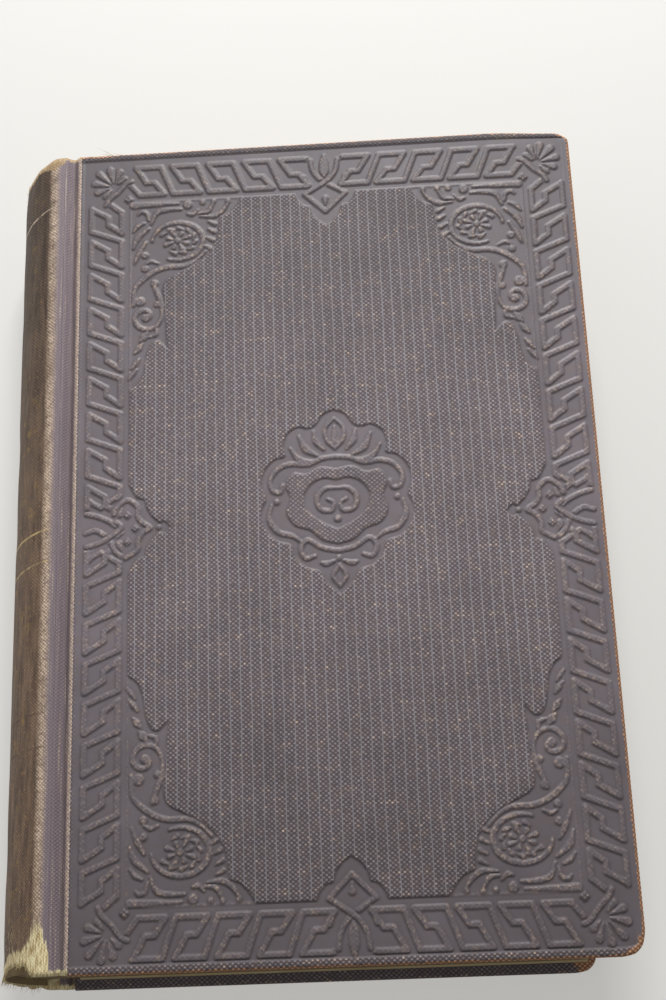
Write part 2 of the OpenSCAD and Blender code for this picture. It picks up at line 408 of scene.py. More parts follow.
@dataclass(frozen=True)
class BookCloth:
    """Publisher's book cloth: starch-filled calico, embossed with a bead grain and stamped with hot brass.

    The filling leaves a soft eggshell sheen. The beads' tops are rubbed pale and the hollows keep the dye.
    The stamped ground is pressed smooth, fine ribs run down the panel, and the edges are worn to tan thread.
    Creases hold grime and painted shade, and painted shade also darkens the slopes that face the tail, the
    strip at the head and the cloth towards both ends.
    """

    name: str
    origin: Point  # the cover's joint edge and tail in the frame
    valley: str = "574d50"
    bead: str = "8d848a"
    rubbed: str = "d8bfab"
    pressed: str = "70686e"
    rib: str = "97949a"
    browned: str = "75645f"
    # the dark of the grime and painted shade in creases and on slopes that face the tail
    dirt_and_shade_colour: str = "2c2122"
    bare: str = "d8a67e"
    bare_dark: str = "855b42"
    bead_pitch: Point = (1.45, 1.22)
    rib_pitch: float = 2.9
    rib_width: float = 0.24
    rib_phase: float = 0.42
    tail_painted_shade: float = 0.79  # painted shade: how much darker the cloth is made at the tail
    # painted shade: how much darker the cloth is made at the head
    head_shade: float = 0.62
    rough: float = 0.7
    polished: float = 0.5  # roughness where the hot brass has pressed it
    relief: float = 0.06

    def build(self) -> bpy.types.Material:
        """Makes the material."""
        material, node = new_material(self.name)
        place = node("TexCoord", {}, "Object")
        shift = (-self.origin[0], -self.origin[1], 0.0)
        flat = node("Mapping", {0: place, 1: shift, 3: (1 / MM,) * 3})
        drift = node("TexNoise", {"Vector": flat, "Scale": 0.06, "Detail": 1.0}, "Color")
        pull = node("VectorMath", {0: drift, 1: (0.5, 0.5, 0.5)}, operation="SUBTRACT")
        bent = node("VectorMath", {0: pull, 1: (0.5, 0.8, 0.0), 2: flat}, operation="MULTIPLY_ADD")
        across, along = (node("SeparateXYZ", {0: bent}, axis) for axis in "XY")
        beads = lattice(node, across, along, self.bead_pitch)
        pressed, panel, worn, crease, bare = (node("Attribute", {}, "Fac", attribute_name=name)
                                              for name in ("pressed", "panel", "worn", "crease", "bare"))

        # Ribs run down the panel only. Where they and the stamping are, there is no bead.
        stepped = node("Math", {0: across, 1: self.rib_phase}, operation="ADD")
        fold = node("Math", {0: stepped, 1: self.rib_pitch / 2}, operation="PINGPONG")
        edge = self.rib_width / 2
        line = node("MapRange", {0: fold, 1: edge * 0.5, 2: edge * 1.7, 3: 1.0, 4: 0.0})
        ribs = node("Math", {0: line, 1: panel}, operation="MULTIPLY")
        even = node("Math", {0: ribs, 1: pressed}, operation="MAXIMUM")
        grain = node("Math", {0: 1.0, 1: even}, operation="SUBTRACT", use_clamp=True)

        # Wear: beads differ a little from one to the next, and rubs cross the panel in short broken rows.
        rows = node("Mapping", {0: flat, 2: (0.0, 0.0, 0.04), 3: (0.07, 0.62, 1.0)})
        patches, specks, crossing, broken, threads = each(node, "TexNoise", (
            (flat, 0.05, 5.0, 0.65), (flat, 1.0, 1.0, 0.5), (rows, 1.0, 3.0, 0.6), (flat, 0.33, 2.0, 0.5),
            (flat, 3.2, 2.0, 0.5)), NOISE)
        rubs = node("Math", {0: crossing, 1: broken}, operation="MULTIPLY")
        scuffed, handled, speck, uneven, lit, fade_and_shade, brown, rough = each(node, "MapRange", (
            (rubs, 0.285, 0.375, 0.0, 0.95), (broken, 0.42, 0.64, 0.25, 1.25), (specks, 0.42, 0.68, 0.0, 1.0),
            (specks, 0.3, 0.7, 0.60, 1.48), (broken, 0.3, 0.6, 0.55, 1.0), (patches, 0.3, 0.7, 0.86, 1.14),
            (broken, 0.42, 0.7, 0.0, 0.32), (even, 0.0, 1.0, self.rough, self.polished)))
        worn_here = node("Math", {0: worn, 1: handled}, operation="MULTIPLY")
        rub = node("Math", {0: scuffed, 1: worn_here}, operation="ADD")
        rub_top, rub_ridge = each(node, "Math", ((rub, speck), (worn_here, speck)), operation="MULTIPLY",
                                  use_clamp=True)
        tops = coated(node, self.bead, ((rub_top, self.rubbed),))
        varied = node("VectorMath", {0: tops, 3: uneven}, operation="SCALE")
        lit_ribs = node("Math", {0: ribs, 1: lit}, operation="MULTIPLY")
        polish = coated(node, self.pressed, ((rub_ridge, self.rubbed),))
        stamped = coated(node, self.valley, ((beads, varied), (lit_ribs, self.rib), (pressed, polish),
                                             (brown, self.browned)))

        # Random patches vary the dye. Painted shade darkens the cloth towards the tail and the head, so the
        # middle is lightest.
        towards = ((along, 0.0, 110.0, self.tail_painted_shade, 1.05),
                   (along, 130.0, BOOK.cover_h, 1.0, self.head_shade))
        for shade in each(node, "MapRange", towards, interpolation_type="SMOOTHSTEP"):
            fade_and_shade = node("Math", {0: fade_and_shade, 1: shade}, operation="MULTIPLY")
        dyed_and_shaded = node("VectorMath", {0: stamped, 3: fade_and_shade}, operation="SCALE")
        through = node("Math", {0: bare, 1: specks}, operation="ADD")
        gone = node("MapRange", {0: through, 1: 0.72, 2: 1.1}, interpolation_type="SMOOTHSTEP")
        ticks = coated(node, self.bare_dark, ((beads, self.bare),))
        # Grime and painted shade darken the creases and tail-facing slopes; worn edges show bare thread.
        colour = coated(node, dyed_and_shaded, ((crease, self.dirt_and_shade_colour), (gone, ticks)))
        bead_height = node("Math", {0: beads, 1: grain}, operation="MULTIPLY")
        height = node("Math", {0: threads, 1: 0.22, 2: bead_height}, operation="MULTIPLY_ADD")
        return finished(material, node, colour, rough, height, 0.8, self.relief)


@dataclass(frozen=True)
class Paper:
    """Wove rag paper, felted on a wire, sized and guillotined.

    It is matt, cream and foxed on a page, and browned and finely lined where many leaves were cut together.
    The two are told apart by which way the surface faces in its own mesh.
    """

    name: str
    face: str
    edge: str
    foxed: str = "8a6a3c"
    leaf: float = 0.22  # spacing of the leaves' edges, drawn a little coarse so that they show
    rough: float = 0.82
    relief: float = 0.08

    def build(self) -> bpy.types.Material:
        """Makes the material."""
        material, node = new_material(self.name)
        place, facing = (node("TexCoord", {}, output) for output in ("Object", "Normal"))
        flat = node("Mapping", {0: place, 3: (1 / MM,) * 3})
        layers = node("Mapping", {0: flat, 3: (0.05, 0.05, 1 / self.leaf)})
        lines, stains, fibres = each(node, "TexNoise", (
            (layers, 1.0, 2.0, 0.7), (flat, 0.03, 5.0, 0.6), (flat, 1.6, 3.0, 0.5)), NOISE)
        up = node("SeparateXYZ", {0: facing}, "Z")
        flatness = node("Math", {0: up}, operation="ABSOLUTE")
        is_edge, shade, stain = each(node, "MapRange", (
            (flatness, 0.9, 0.5, 0.0, 1.0), (lines, 0.35, 0.65, 0.55, 1.1), (stains, 0.52, 0.78, 0.0, 0.5)))
        # The cut edges are browned; for the text block they are darkened further as painted shade.
        edge_brown_and_shade = node("VectorMath", {0: self.edge, 3: shade}, operation="SCALE")
        colour = coated(node, self.face, ((is_edge, edge_brown_and_shade), (stain, self.foxed)))
        height = node("Mix", {0: is_edge, 2: fibres, 3: lines}, 0)
        return finished(material, node, colour, self.rough, height, 0.4, self.relief)


@dataclass(frozen=True)
class Fibre:
    """A plain fibrous stuff, such as board, card, mull or thread: matt and speckled, with a felted face."""

    name: str
    light: str
    dark: str
    grain: float  # millimetres between flecks
    rough: float = 0.85
    relief: float = 0.08

    def build(self) -> bpy.types.Material:
        """Makes the material."""
        material, node = new_material(self.name)
        place = node("TexCoord", {}, "Object")
        flat = node("Mapping", {0: place, 3: (1 / MM,) * 3})
        flecks = node("TexNoise", {"Vector": flat, "Scale": 1 / self.grain, "Detail": 4.0, "Roughness": 0.65})
        cloudy = node("TexNoise", {"Vector": flat, "Scale": 0.06, "Detail": 3.0})
        both = node("Math", {0: flecks, 1: cloudy}, operation="ADD")
        amount = node("MapRange", {0: both, 1: 0.75, 2: 1.25})
        colour = coated(node, self.dark, ((amount, self.light),))
        return finished(material, node, colour, self.rough, flecks, 0.6, self.relief)


@dataclass(frozen=True)
class SpineCloth:
    """The same book cloth over the back and the joints, glued over the inlay and stamped in gold and blind.

    It is browned and dull where light and hands reach it, rubbed to pale thread on its ridges, and keeps its
    lilac dye on the flat beside the joint. Painted shade darkens the bottom of the joint's groove, and the back
    is made darker towards its head. It reads four attributes: around, the distance from the front joint; edge,
    the distance from the nearer joint; along, the height above the tail; and fray, how near a torn end is.
    """

    name: str = "sunned_book_cloth"
    sunned: str = "8e745f"
    dark: str = "544136"
    golden: str = "b39167"
    shoulder: str = "81747a"
    # painted shade at the bottom of the joint's groove
    groove_shade: str = "635556"
    rubbed: str = "e6cdb5"
    gilt: str = "d9c083"
    worn_gilt: str = "a3834c"
    torn: str = "fdf0c2"
    torn_dark: str = "b0905a"
    torn_tan: str = "957759"
    bead_pitch: Point = (1.1, 0.98)
    fillets: tuple[float, ...] = (110.2, 119.3)  # gilt lines round the back
    blind: tuple[float, ...] = (58.8, 68.0)  # lines stamped without gold
    scored: tuple[float, ...] = (220.5,)  # a line rubbed through to the thread
    line_half: float = 0.24
    flat_zone: Point = (-9.0, 2.4)  # the flat beside the joint, from the joint's edge
    groove_shade_zone: Point = (-3.7, -2.3)
    roll_zone: Point = (-5.3, -4.0)
    crest_zone: Point = (1.9, 4.5)
    head_shade: float = 0.48  # how much darker the back is made towards its head
    rough: float = 0.66
    relief: float = 0.08

    def zone(self, node: Adder, value: Socket, ends: Point, soft: float) -> Socket:
        """Marks a band of the cloth.

        Args:
            node: Adds a node to the material.
            value: The distance that it is measured by.
            ends: Where the band starts and ends.
            soft: Half the width of its soft sides.

        Returns:
            1 in the band and 0 outside it.
        """
        rise, fall = each(node, "MapRange", tuple((value, end - soft, end + soft, first, 1.0 - first)
                                                  for end, first in zip(ends, (0.0, 1.0))))
        return node("Math", {0: rise, 1: fall}, operation="MULTIPLY")

    def build(self) -> bpy.types.Material:
        """Makes the material."""
        material, node = new_material(self.name)
        around, edge, along, fray = (node("Attribute", {}, "Fac", attribute_name=name)
                                     for name in ("around", "edge", "along", "fray"))
        flat = node("CombineXYZ", {0: around, 1: along})
        beads = lattice(node, around, along, self.bead_pitch)
        streaked, combed, thready = each(node, "Mapping", (
            (flat, (0.5, 0.07, 1.0)), (flat, (1.5, 0.03, 1.0)), (flat, (2.2, 0.35, 1.0))), (0, 3))
        patchy, specks, broken, tooled, creases, combing = each(node, "TexNoise", (
            (streaked, 1.0, 5.0, 0.65), (flat, 1.1, 2.0, 0.5), (flat, 0.16, 4.0, 0.6), (flat, 0.21, 4.0, 0.7),
            (combed, 1.0, 3.0, 0.7), (thready, 1.0, 3.0, 0.6)), NOISE)
        amount, tips, left, leaf_zone, lines, patched, speck = each(node, "MapRange", (
            (patchy, 0.34, 0.68, 0.0, 1.0), (specks, 0.52, 0.70, 0.0, 0.75), (tooled, 0.57, 0.66, 0.0, 0.75),
            (edge, 5.5, 8.0, 0.0, 1.0), (creases, 0.54, 0.68, 0.0, 0.6), (broken, 0.36, 0.62, 0.5, 1.25),
            (specks, 0.34, 0.58, 0.35, 1.0)))
        beaded, shade, whole, on_back, strands, at_head = each(node, "MapRange", (
            (beads, 0.0, 1.0, 0.5, 1.0), (beads, 0.0, 1.0, 0.87, 1.1), (broken, 0.40, 0.56, 0.15, 0.95),
            (edge, 2.0, 3.2, 0.0, 1.0), (combing, 0.34, 0.6, 0.0, 1.0), (along, 120.0, 200.0, 0.0, 0.82)))

        # Dye: the back is browned and flecked with gold, and the flat beside the joint has kept its lilac.
        tipped, leaf, shown = each(node, "Math", ((tips, beads), (left, leaf_zone), (whole, on_back)),
                                   operation="MULTIPLY")
        flecks = ((amount, self.sunned), (tipped, self.golden), (leaf, self.worn_gilt))
        flecked = coated(node, self.dark, flecks)
        # The back is made darker towards its head.
        darkened_to_head = node("MapRange", {0: along, 1: 110.0, 2: 220.0, 3: 1.0, 4: self.head_shade},
                      interpolation_type="SMOOTHSTEP")
        back = node("VectorMath", {0: flecked, 3: darkened_to_head}, operation="SCALE")
        flat_zone, groove_shade, roll, crest = (
            self.zone(node, edge, ends, soft) for ends, soft in (
                (self.flat_zone, 0.9), (self.groove_shade_zone, 0.5), (self.roll_zone, 0.3),
                (self.crest_zone, 0.8)))
        # Painted shade darkens the bottom of the joint's groove.
        sunk = node("Math", {0: groove_shade, 1: 0.75}, operation="MULTIPLY")

        # Rubbing: the crest where the back turns, the roll beside the board, and long creases between them.
        creased, rub = each(node, "Math", ((lines, flat_zone), (crest, patched)), operation="MULTIPLY")
        for other, operation, clamped in ((roll, "MAXIMUM", False), (creased, "MAXIMUM", False),
                                          (speck, "MULTIPLY", False), (beaded, "MULTIPLY", True)):
            rub = node("Math", {0: rub, 1: other}, operation=operation, use_clamp=clamped)
        worn = coated(node, back, ((flat_zone, self.shoulder), (sunk, self.groove_shade), (rub, self.rubbed)))
        tooling = node("VectorMath", {0: worn, 3: shade}, operation="SCALE")

        # Fillets run round the back, the gilt ones worn through in places, and the blind ones dark.
        tools = ((self.fillets, self.gilt), (self.blind, self.dark), (self.scored, self.rubbed))
        for levels, finish in tools:
            for level in levels:
                line = self.zone(node, along, (level - self.line_half, level + self.line_half), 0.16)
                laid = node("Math", {0: line, 1: shown}, operation="MULTIPLY")
                tooling = coated(node, tooling, ((laid, finish),))

        # Torn ends: the filling is gone and the bare cotton shows as pale combed threads, tanned at the head.
        doubt = node("Math", {0: patchy, 1: combing}, operation="ADD")
        reach = node("Math", {0: doubt, 1: 0.75, 2: fray}, operation="MULTIPLY_ADD")
        gone = node("MapRange", {0: reach, 1: 1.06, 2: 1.26}, interpolation_type="SMOOTHSTEP")
        cotton = coated(node, self.torn_dark, ((strands, self.torn), (at_head, self.torn_tan)))
        colour = coated(node, tooling, ((gone, cotton),))
        height = node("Math", {0: combing, 1: gone, 2: beads}, operation="MULTIPLY_ADD")
        return finished(material, node, colour, self.rough, height, 0.7, self.relief)


# ---------------------------------------------------------------- stamped relief


AXIS_X = BOOK.cover_w / 2  # the pattern's own middle lines
AXIS_Y = 118.2


@dataclass(frozen=True)
class Quarter:
    """One quarter of a cover. An ornament is drawn once, from the nearest corner, and stamped in all four.

    Args:
        flip_x: Whether the quarter starts at the fore-edge rather than at the joint.
        flip_y: Whether it starts at the head rather than at the tail.
    """

    flip_x: bool
    flip_y: bool
    height: float = 235.0  # height of the brass, whose foot lies on the cover's tail
    band: float = 15.0  # nominal depth of the border at an end
    tail_band: float = 16.4

    def place(self, points: Places) -> Places:
        """Turns distances from the corner to the cover's own coordinates."""
        p = np.asarray(points, float)
        half = self.height / 2
        near = self.band if self.flip_y else self.tail_band
        far = self.height - AXIS_Y if self.flip_y else AXIS_Y
        up = np.interp(p[:, 1], [0, self.band, half], [0, near, far])
        over = np.maximum(p[:, 1] - half, 0)
        y = self.height - up - over if self.flip_y else up + over
        x = BOOK.cover_w - p[:, 0] if self.flip_x else p[:, 0]
        return np.stack([x, y], 1)


PANEL = (15.1, 132.9, 16.4, 220.0)  # the ribbed panel's left, right, foot and top
QUARTERS = tuple(Quarter(fx, fy) for fx in (False, True) for fy in (False, True))


@dataclass
class Relief:
    """Height and finish of a stamped cover over a grid of places.

    The cloth's own level is 0. A heated brass presses the ground below it, and what the brass leaves stands
    up in the cloth's grain.
    """

    xs: Places
    ys: Places
    depth: float = 0.30
    edge: float = 0.32  # width of the slope between two levels
    ridge_finish: float = 0.74  # how far the hot brass has smoothed the grain on a ridge
    height: Places = field(init=False)
    pressed: Places = field(init=False)
    panel: Places = field(init=False)

    def __post_init__(self) -> None:
        """Starts with plain grained cloth."""
        shape = (len(self.ys), len(self.xs))
        self.height, self.pressed, self.panel = (np.zeros(shape) for _ in range(3))

    def window(self, points: Places, margin: float) -> tuple[tuple[slice, slice], Places, Places]:
        """Finds the part of the grid round some points.

        Args:
            points: The points.
            margin: How far beyond them it reaches.

        Returns:
            The part's slices, and its places' x and y.
        """
        low, high = points[:, :2].min(0) - margin, points[:, :2].max(0) + margin
        i0, i1 = np.searchsorted(self.xs, [low[0], high[0]])
        j0, j1 = np.searchsorted(self.ys, [low[1], high[1]])
        part = (slice(j0, j1), slice(i0, i1))
        gx, gy = np.meshgrid(self.xs[i0:i1], self.ys[j0:j1])
        return part, gx, gy

    def distance(self, gx: Places, gy: Places, points: Places, half: Places) -> Places:
        """Finds how far outside a line each place is.

        Args:
            gx: The places' x.
            gy: Their y.
            points: The line.
            half: Half its width at each of its points.

        Returns:
            The distances, which are below 0 inside the line's width.
        """
        least = np.full(gx.shape, 1e6)
        for a, b, ra, rb in zip(points[:-1], points[1:], half[:-1], half[1:]):
            d = b - a
            length = max(float(d @ d), 1e-9)
            t = np.clip(((gx - a[0]) * d[0] + (gy - a[1]) * d[1]) / length, 0, 1)
            away = np.hypot(gx - a[0] - t * d[0], gy - a[1] - t * d[1]) - (ra + (rb - ra) * t)
            least = np.minimum(least, away)
        return least

    def paint(self, part: tuple[slice, slice], away: Places, level: float, finish: float) -> None:
        """Brings what lies inside a shape to one level and finish, with a short slope round it.

        Args:
            part: The part of the grid that it lies in.
            away: How far outside the shape each place is.
            level: The shape's height.
            finish: How far the hot brass has smoothed the cloth there.
        """
        mask = 1 - smooth(-self.edge / 2, self.edge / 2, away)
        self.height[part] += (level - self.height[part]) * mask
        self.pressed[part] += (finish - self.pressed[part]) * mask
        self.panel[part] *= 1 - mask

    def ridge(self, points: Places, width: float | Sequence[float], moat: float = 0.0,
              level: float = 0.0) -> None:
        """Leaves a ridge of grained cloth standing along a line.

        Args:
            points: The line.
            width: Its width, or the widths along it.
            moat: How far the ground beside it is pressed first, where it passes over another ridge.
            level: Its top.
        """
        points = np.asarray(points, float)
        steps = np.linspace(0, 1, len(points))
        widths = np.atleast_1d(np.asarray(width, float))
        half = np.interp(steps, np.linspace(0, 1, len(widths)), widths) / 2
        part, gx, gy = self.window(points, half.max() + moat + 1)
        away = self.distance(gx, gy, points, half)
        if moat:
            self.paint(part, away - moat, -self.depth, 1.0)
        self.paint(part, away, level, self.ridge_finish)

    def area(self, outline: Places, pressed: bool) -> None:
        """Presses the area in a closed outline, or leaves it standing in grained cloth."""
        outline = np.asarray(outline, float)
        part, gx, gy = self.window(outline, 1.5)
        ends = np.vstack([outline, outline[:1]])
        inside = np.zeros(gx.shape, bool)
        for (ax, ay), (bx, by) in zip(ends[:-1], ends[1:]):
            if ay != by:
                inside ^= ((ay > gy) != (by > gy)) & (gx < (bx - ax) * (gy - ay) / (by - ay) + ax)
        away = self.distance(gx, gy, ends, np.zeros(len(ends)))
        away = np.where(inside, -away, away)
        self.paint(part, away, -self.depth if pressed else 0.0, 1.0 if pressed else 0.2)

    def dot(self, centre: Sequence[float], radius: float) -> None:
        """Leaves a round boss standing."""
        self.ridge(np.array([centre, centre], float), 2 * radius)

    def slopes(self) -> tuple[Places, Places]:
        """Finds where creases hold grime and painted shade, and where hands rub.

        Returns:
            How much grime and painted shade each place has in its creases, and how much of a rubbed edge.
        """
        gy, gx = np.gradient(self.height, self.ys, self.xs)
        steep = np.hypot(gx, gy)
        near = steep.copy()
        for axis in (0, 1):
            near = np.maximum(near, np.maximum(np.roll(near, 1, axis), np.roll(near, -1, axis)))
        low = smooth(-0.1, -0.24, self.height)
        # Painted shade: slopes that face the tail and the joint are darkened, as though lit from the head.
        painted_slope_shade = smooth(0.15, 0.9, gy * 0.85 + gx * 0.5)
        # Steep slopes and the feet of ridges darken too: partly grime, partly painted shade.
        crease = smooth(0.15, 0.9, steep) * 0.2 + painted_slope_shade * 0.46 + smooth(0.2, 1.0, near) * low * 0.36
        top = smooth(0.35, 0.5, self.pressed) * smooth(0.95, 0.85, self.pressed)
        worn = smooth(0.2, 0.8, near) * smooth(-0.14, -0.03, self.height) * 0.34 + top * 0.14
        return np.clip(crease, 0, 0.75), np.clip(worn, 0, 1)


@dataclass(frozen=True)
class KeyBorder:
    """A running key fret with slanted bars, between two lines of a border, with a palmette in each corner."""

    pitch_end: float = 10.98
    pitch_side: float = 11.06
    outer: float = 3.25
    inner: float = 12.5
    width: float = 1.5
    start_end: float = 16.7  # where the first whole repeat starts from a corner
    start_side: float = 16.2
    units_end: int = 4
    units_side: int = 8
    joint_rim: float = 0.6
    tail_rim: float = 2.2
    head_rim: float = 2.0

    def unit(self, start: float, pitch: float) -> list[Point]:
        """One repeat: along the outer line, across, along the inner line, and hooked back.

        Args:
            start: Where it starts along the border.
            pitch: The repeat.

        Returns:
            Its points, as distances along and across the border.
        """
        h = self.inner - self.outer
        shape = ((0.0, 0.0), (0.70, 0.0), (1.03, h), (1.79, h), (1.51, h - 4.1), (1.29, h - 4.1))
        return [(start + s * pitch, self.outer + t) for s, t in shape]

    def lead(self, start: float) -> list[Point]:
        """The half repeat that joins a corner's collar to the first whole one."""
        return [(14.4, 8.2), (17.0, 11.3), (17.9, self.inner), (start + 8.7, self.inner),
                (start + 5.7, self.inner - 4.1), (start + 3.2, self.inner - 4.1), (start + 0.2, self.outer)]

    def run(self, start: float, pitch: float, count: int, reach: float, *ends: Point) -> Places:
        """The fret's whole line from a corner to the middle of one side.

        Args:
            start: Where the first whole repeat starts.
            pitch: The repeat.
            count: How many there are.
            reach: How far the line runs on past the last one.
            ends: The points that it ends with.

        Returns:
            The line, as distances along and across the border.
        """
        line = self.lead(start)
        for k in range(count):
            line += self.unit(start + k * pitch, pitch)
        last = start + count * pitch
        return np.array([*line, (last, self.outer), (last + reach, self.outer), *ends])

    def stamp(self, relief: Relief) -> None:
        """Stamps the rims' ground, and both kinds of border in every quarter."""
        w, h = BOOK.cover_w, BOOK.cover_h
        low, high = (self.joint_rim, self.tail_rim), (w + 2.0, h - self.head_rim)
        part, gx, gy = relief.window(np.array([low, high]), 3)
        left, right, foot, top = PANEL
        inside_panel = np.stack([left - gx, gx - right, foot - gy, gy - top]).max(0)
        rim_away = np.stack([low[0] - gx, gx - high[0], low[1] - gy, gy - high[1]]).max(0)
        relief.panel[part] = smooth(0.2, -0.2, inside_panel)
        relief.paint(part, np.maximum(rim_away, -inside_panel), -relief.depth, 1.0)
        relief.panel[part] = np.maximum(relief.panel[part], smooth(-0.25, -0.5, inside_panel))
        for quarter in QUARTERS:
            end = self.run(self.start_end, self.pitch_end, self.units_end, 7.6, (69.9, 4.0), (70.6, 7.6))
            side = self.run(self.start_side, self.pitch_side, self.units_side, 6.4)
            relief.ridge(quarter.place(end), self.width)
            relief.ridge(quarter.place(side[:, ::-1]), self.width)
            self.palmette(relief, quarter)

    def palmette(self, relief: Relief, quarter: Quarter) -> None:
        """Seven drops spread from a collar, towards the corner."""
        base = np.array([10.0, 9.1])
        for turn, length in zip((0, 32, -32, 64, -64, 96, -96), (7.4, 7.0, 7.0, 6.2, 6.2, 4.9, 4.9)):
            a = math.radians(225 + turn)
            ray = np.array([math.cos(a), math.sin(a)])
            line = np.array([base + ray * 1.5, base + ray * (length - 1.0)])
            relief.ridge(quarter.place(line), (0.5, 1.5, 2.0))
        collar = spline([(7.6, 15.2), (8.6, 13.4), (11.4, 11.0), (13.6, 8.4), (15.3, 7.6)])
        relief.ridge(quarter.place(collar), 1.3, moat=0.5)
        diamond = np.array([(14.6, 12.4), (16.0, 13.8), (14.6, 15.2), (13.2, 13.8)])
        relief.area(quarter.place(diamond), False)


@dataclass(frozen=True)
class Knots:
    """The knots at the middle of each side, and the looped finials at the middle of each end."""

    width: float = 1.3
    moat: float = 0.45

    def mirrored(self, points: Sequence[Point], flip_x: bool, flip_m: bool) -> Places:
        """Places points given from a side's edge and from the middle line.

        Args:
            points: Distances in from the edge, and up from the middle.
            flip_x: Whether the edge is the fore-edge.
            flip_m: Whether the points are turned over the middle line.

        Returns:
            The places on the cover.
        """
        p = np.asarray(points, float)
        x = BOOK.cover_w - p[:, 0] if flip_x else p[:, 0]
        return np.stack([x, AXIS_Y + (-p[:, 1] if flip_m else p[:, 1])], 1)

    def side(self, relief: Relief, flip_x: bool) -> None:
        """Stamps one side's knot: two laced rings, with a leaf and three small diamonds."""
        half = [(26.9, 0.0), (26.0, 1.3), (25.0, 1.9), (24.0, 1.2), (21.8, 3.3), (20.2, 5.8), (19.7, 8.2),
                (17.3, 9.0), (15.5, 12.3), (14.6, 14.0)]
        outline = np.vstack([self.mirrored(half, flip_x, False), self.mirrored(half[::-1], flip_x, True)])
        relief.area(outline, True)
        ring = [(2.9, -0.8), (6.0, -0.2), (9.5, -2.9), (11.3, -6.3), (14.3, -8.4), (17.5, -6.3), (17.7, -3.7),
                (19.1, -1.3), (21.2, 0.0), (19.0, 1.6), (17.7, 3.6), (17.6, 6.3), (14.6, 8.4), (11.4, 6.0),
                (10.9, 4.4)]
        strand = [(3.1, 4.8), (6.4, 3.9), (9.9, 2.2), (13.0, -0.4), (11.7, -2.0)]
        fret = [(12.2, 9.8), (7.2, 6.4), (4.8, 7.8), (3.1, 9.6), (3.1, 4.8)]
        for flip in (False, True):
            relief.ridge(self.mirrored(fret, flip_x, flip), self.width)
        for flip in (False, True):
            line = spline(ring[4:] if flip else ring, 6)
            relief.ridge(self.mirrored(line, flip_x, False), self.width, self.moat)
            relief.ridge(self.mirrored(spline(strand, 6), flip_x, flip), self.width, self.moat)
        for u, m in ((14.7, 3.9), (17.0, 0.0), (14.7, -3.9)):
            diamond = np.array([(u - 1.1, m), (u, m + 1.2), (u + 1.1, m), (u, m - 1.2)])
            relief.area(self.mirrored(diamond, flip_x, False), False)
        relief.dot(self.mirrored([(23.6, 0.0)], flip_x, False)[0], 0.7)

    def end(self, relief: Relief, flip_y: bool) -> None:
        """Stamps one end's finial: a pointed bud, strands that cross under it, and an open diamond."""
        quarter = Quarter(False, flip_y)
        foot = quarter.band - 0.4
        half = [(9.5, 0.0), (8.5, 2.4), (6.8, 4.4), (4.9, 4.9), (4.1, 7.6), (2.2, 10.0), (0.0, 11.4)]

        def at(points: Sequence[Point], side: int = 1) -> Places:
            """Places points given from the end's middle line, on one side of it or the other."""
            return quarter.place(np.array(points, float) * (side, 1) + (AXIS_X, 0.0))

        bell = np.array([(-n, foot + v) for n, v in half] + [(n, foot + v) for n, v in half[::-1]])
        relief.area(at(bell), True)
        for side in (-1, 1):
            cross = spline([(4.1, 4.0), (3.4, 7.6), (1.3, 10.6), (-1.6, 12.6), (-6.1, 15.4)], 6)
            relief.ridge(at(cross, side), self.width, self.moat)
            relief.ridge(at([(-6.1, 15.4), (0.0, 21.4)], side), self.width)
            relief.ridge(at([(6.3, 9.6), (4.6, 13.2)], side), (1.6, 0.6))
        bud = spline([(0.0, 2.4), (0.0, 5.0), (0.0, 7.6), (0.0, 9.8)], 5)
        relief.ridge(at(bud), (0.8, 2.6, 2.9, 0.7), moat=0.3)
        relief.ridge(at([(0.0, 17.0), (0.0, 19.2)]), (1.8, 0.5))

    def stamp(self, relief: Relief) -> None:
        """Stamps all four."""
        for flip in (False, True):
            self.side(relief, flip)
            self.end(relief, flip)


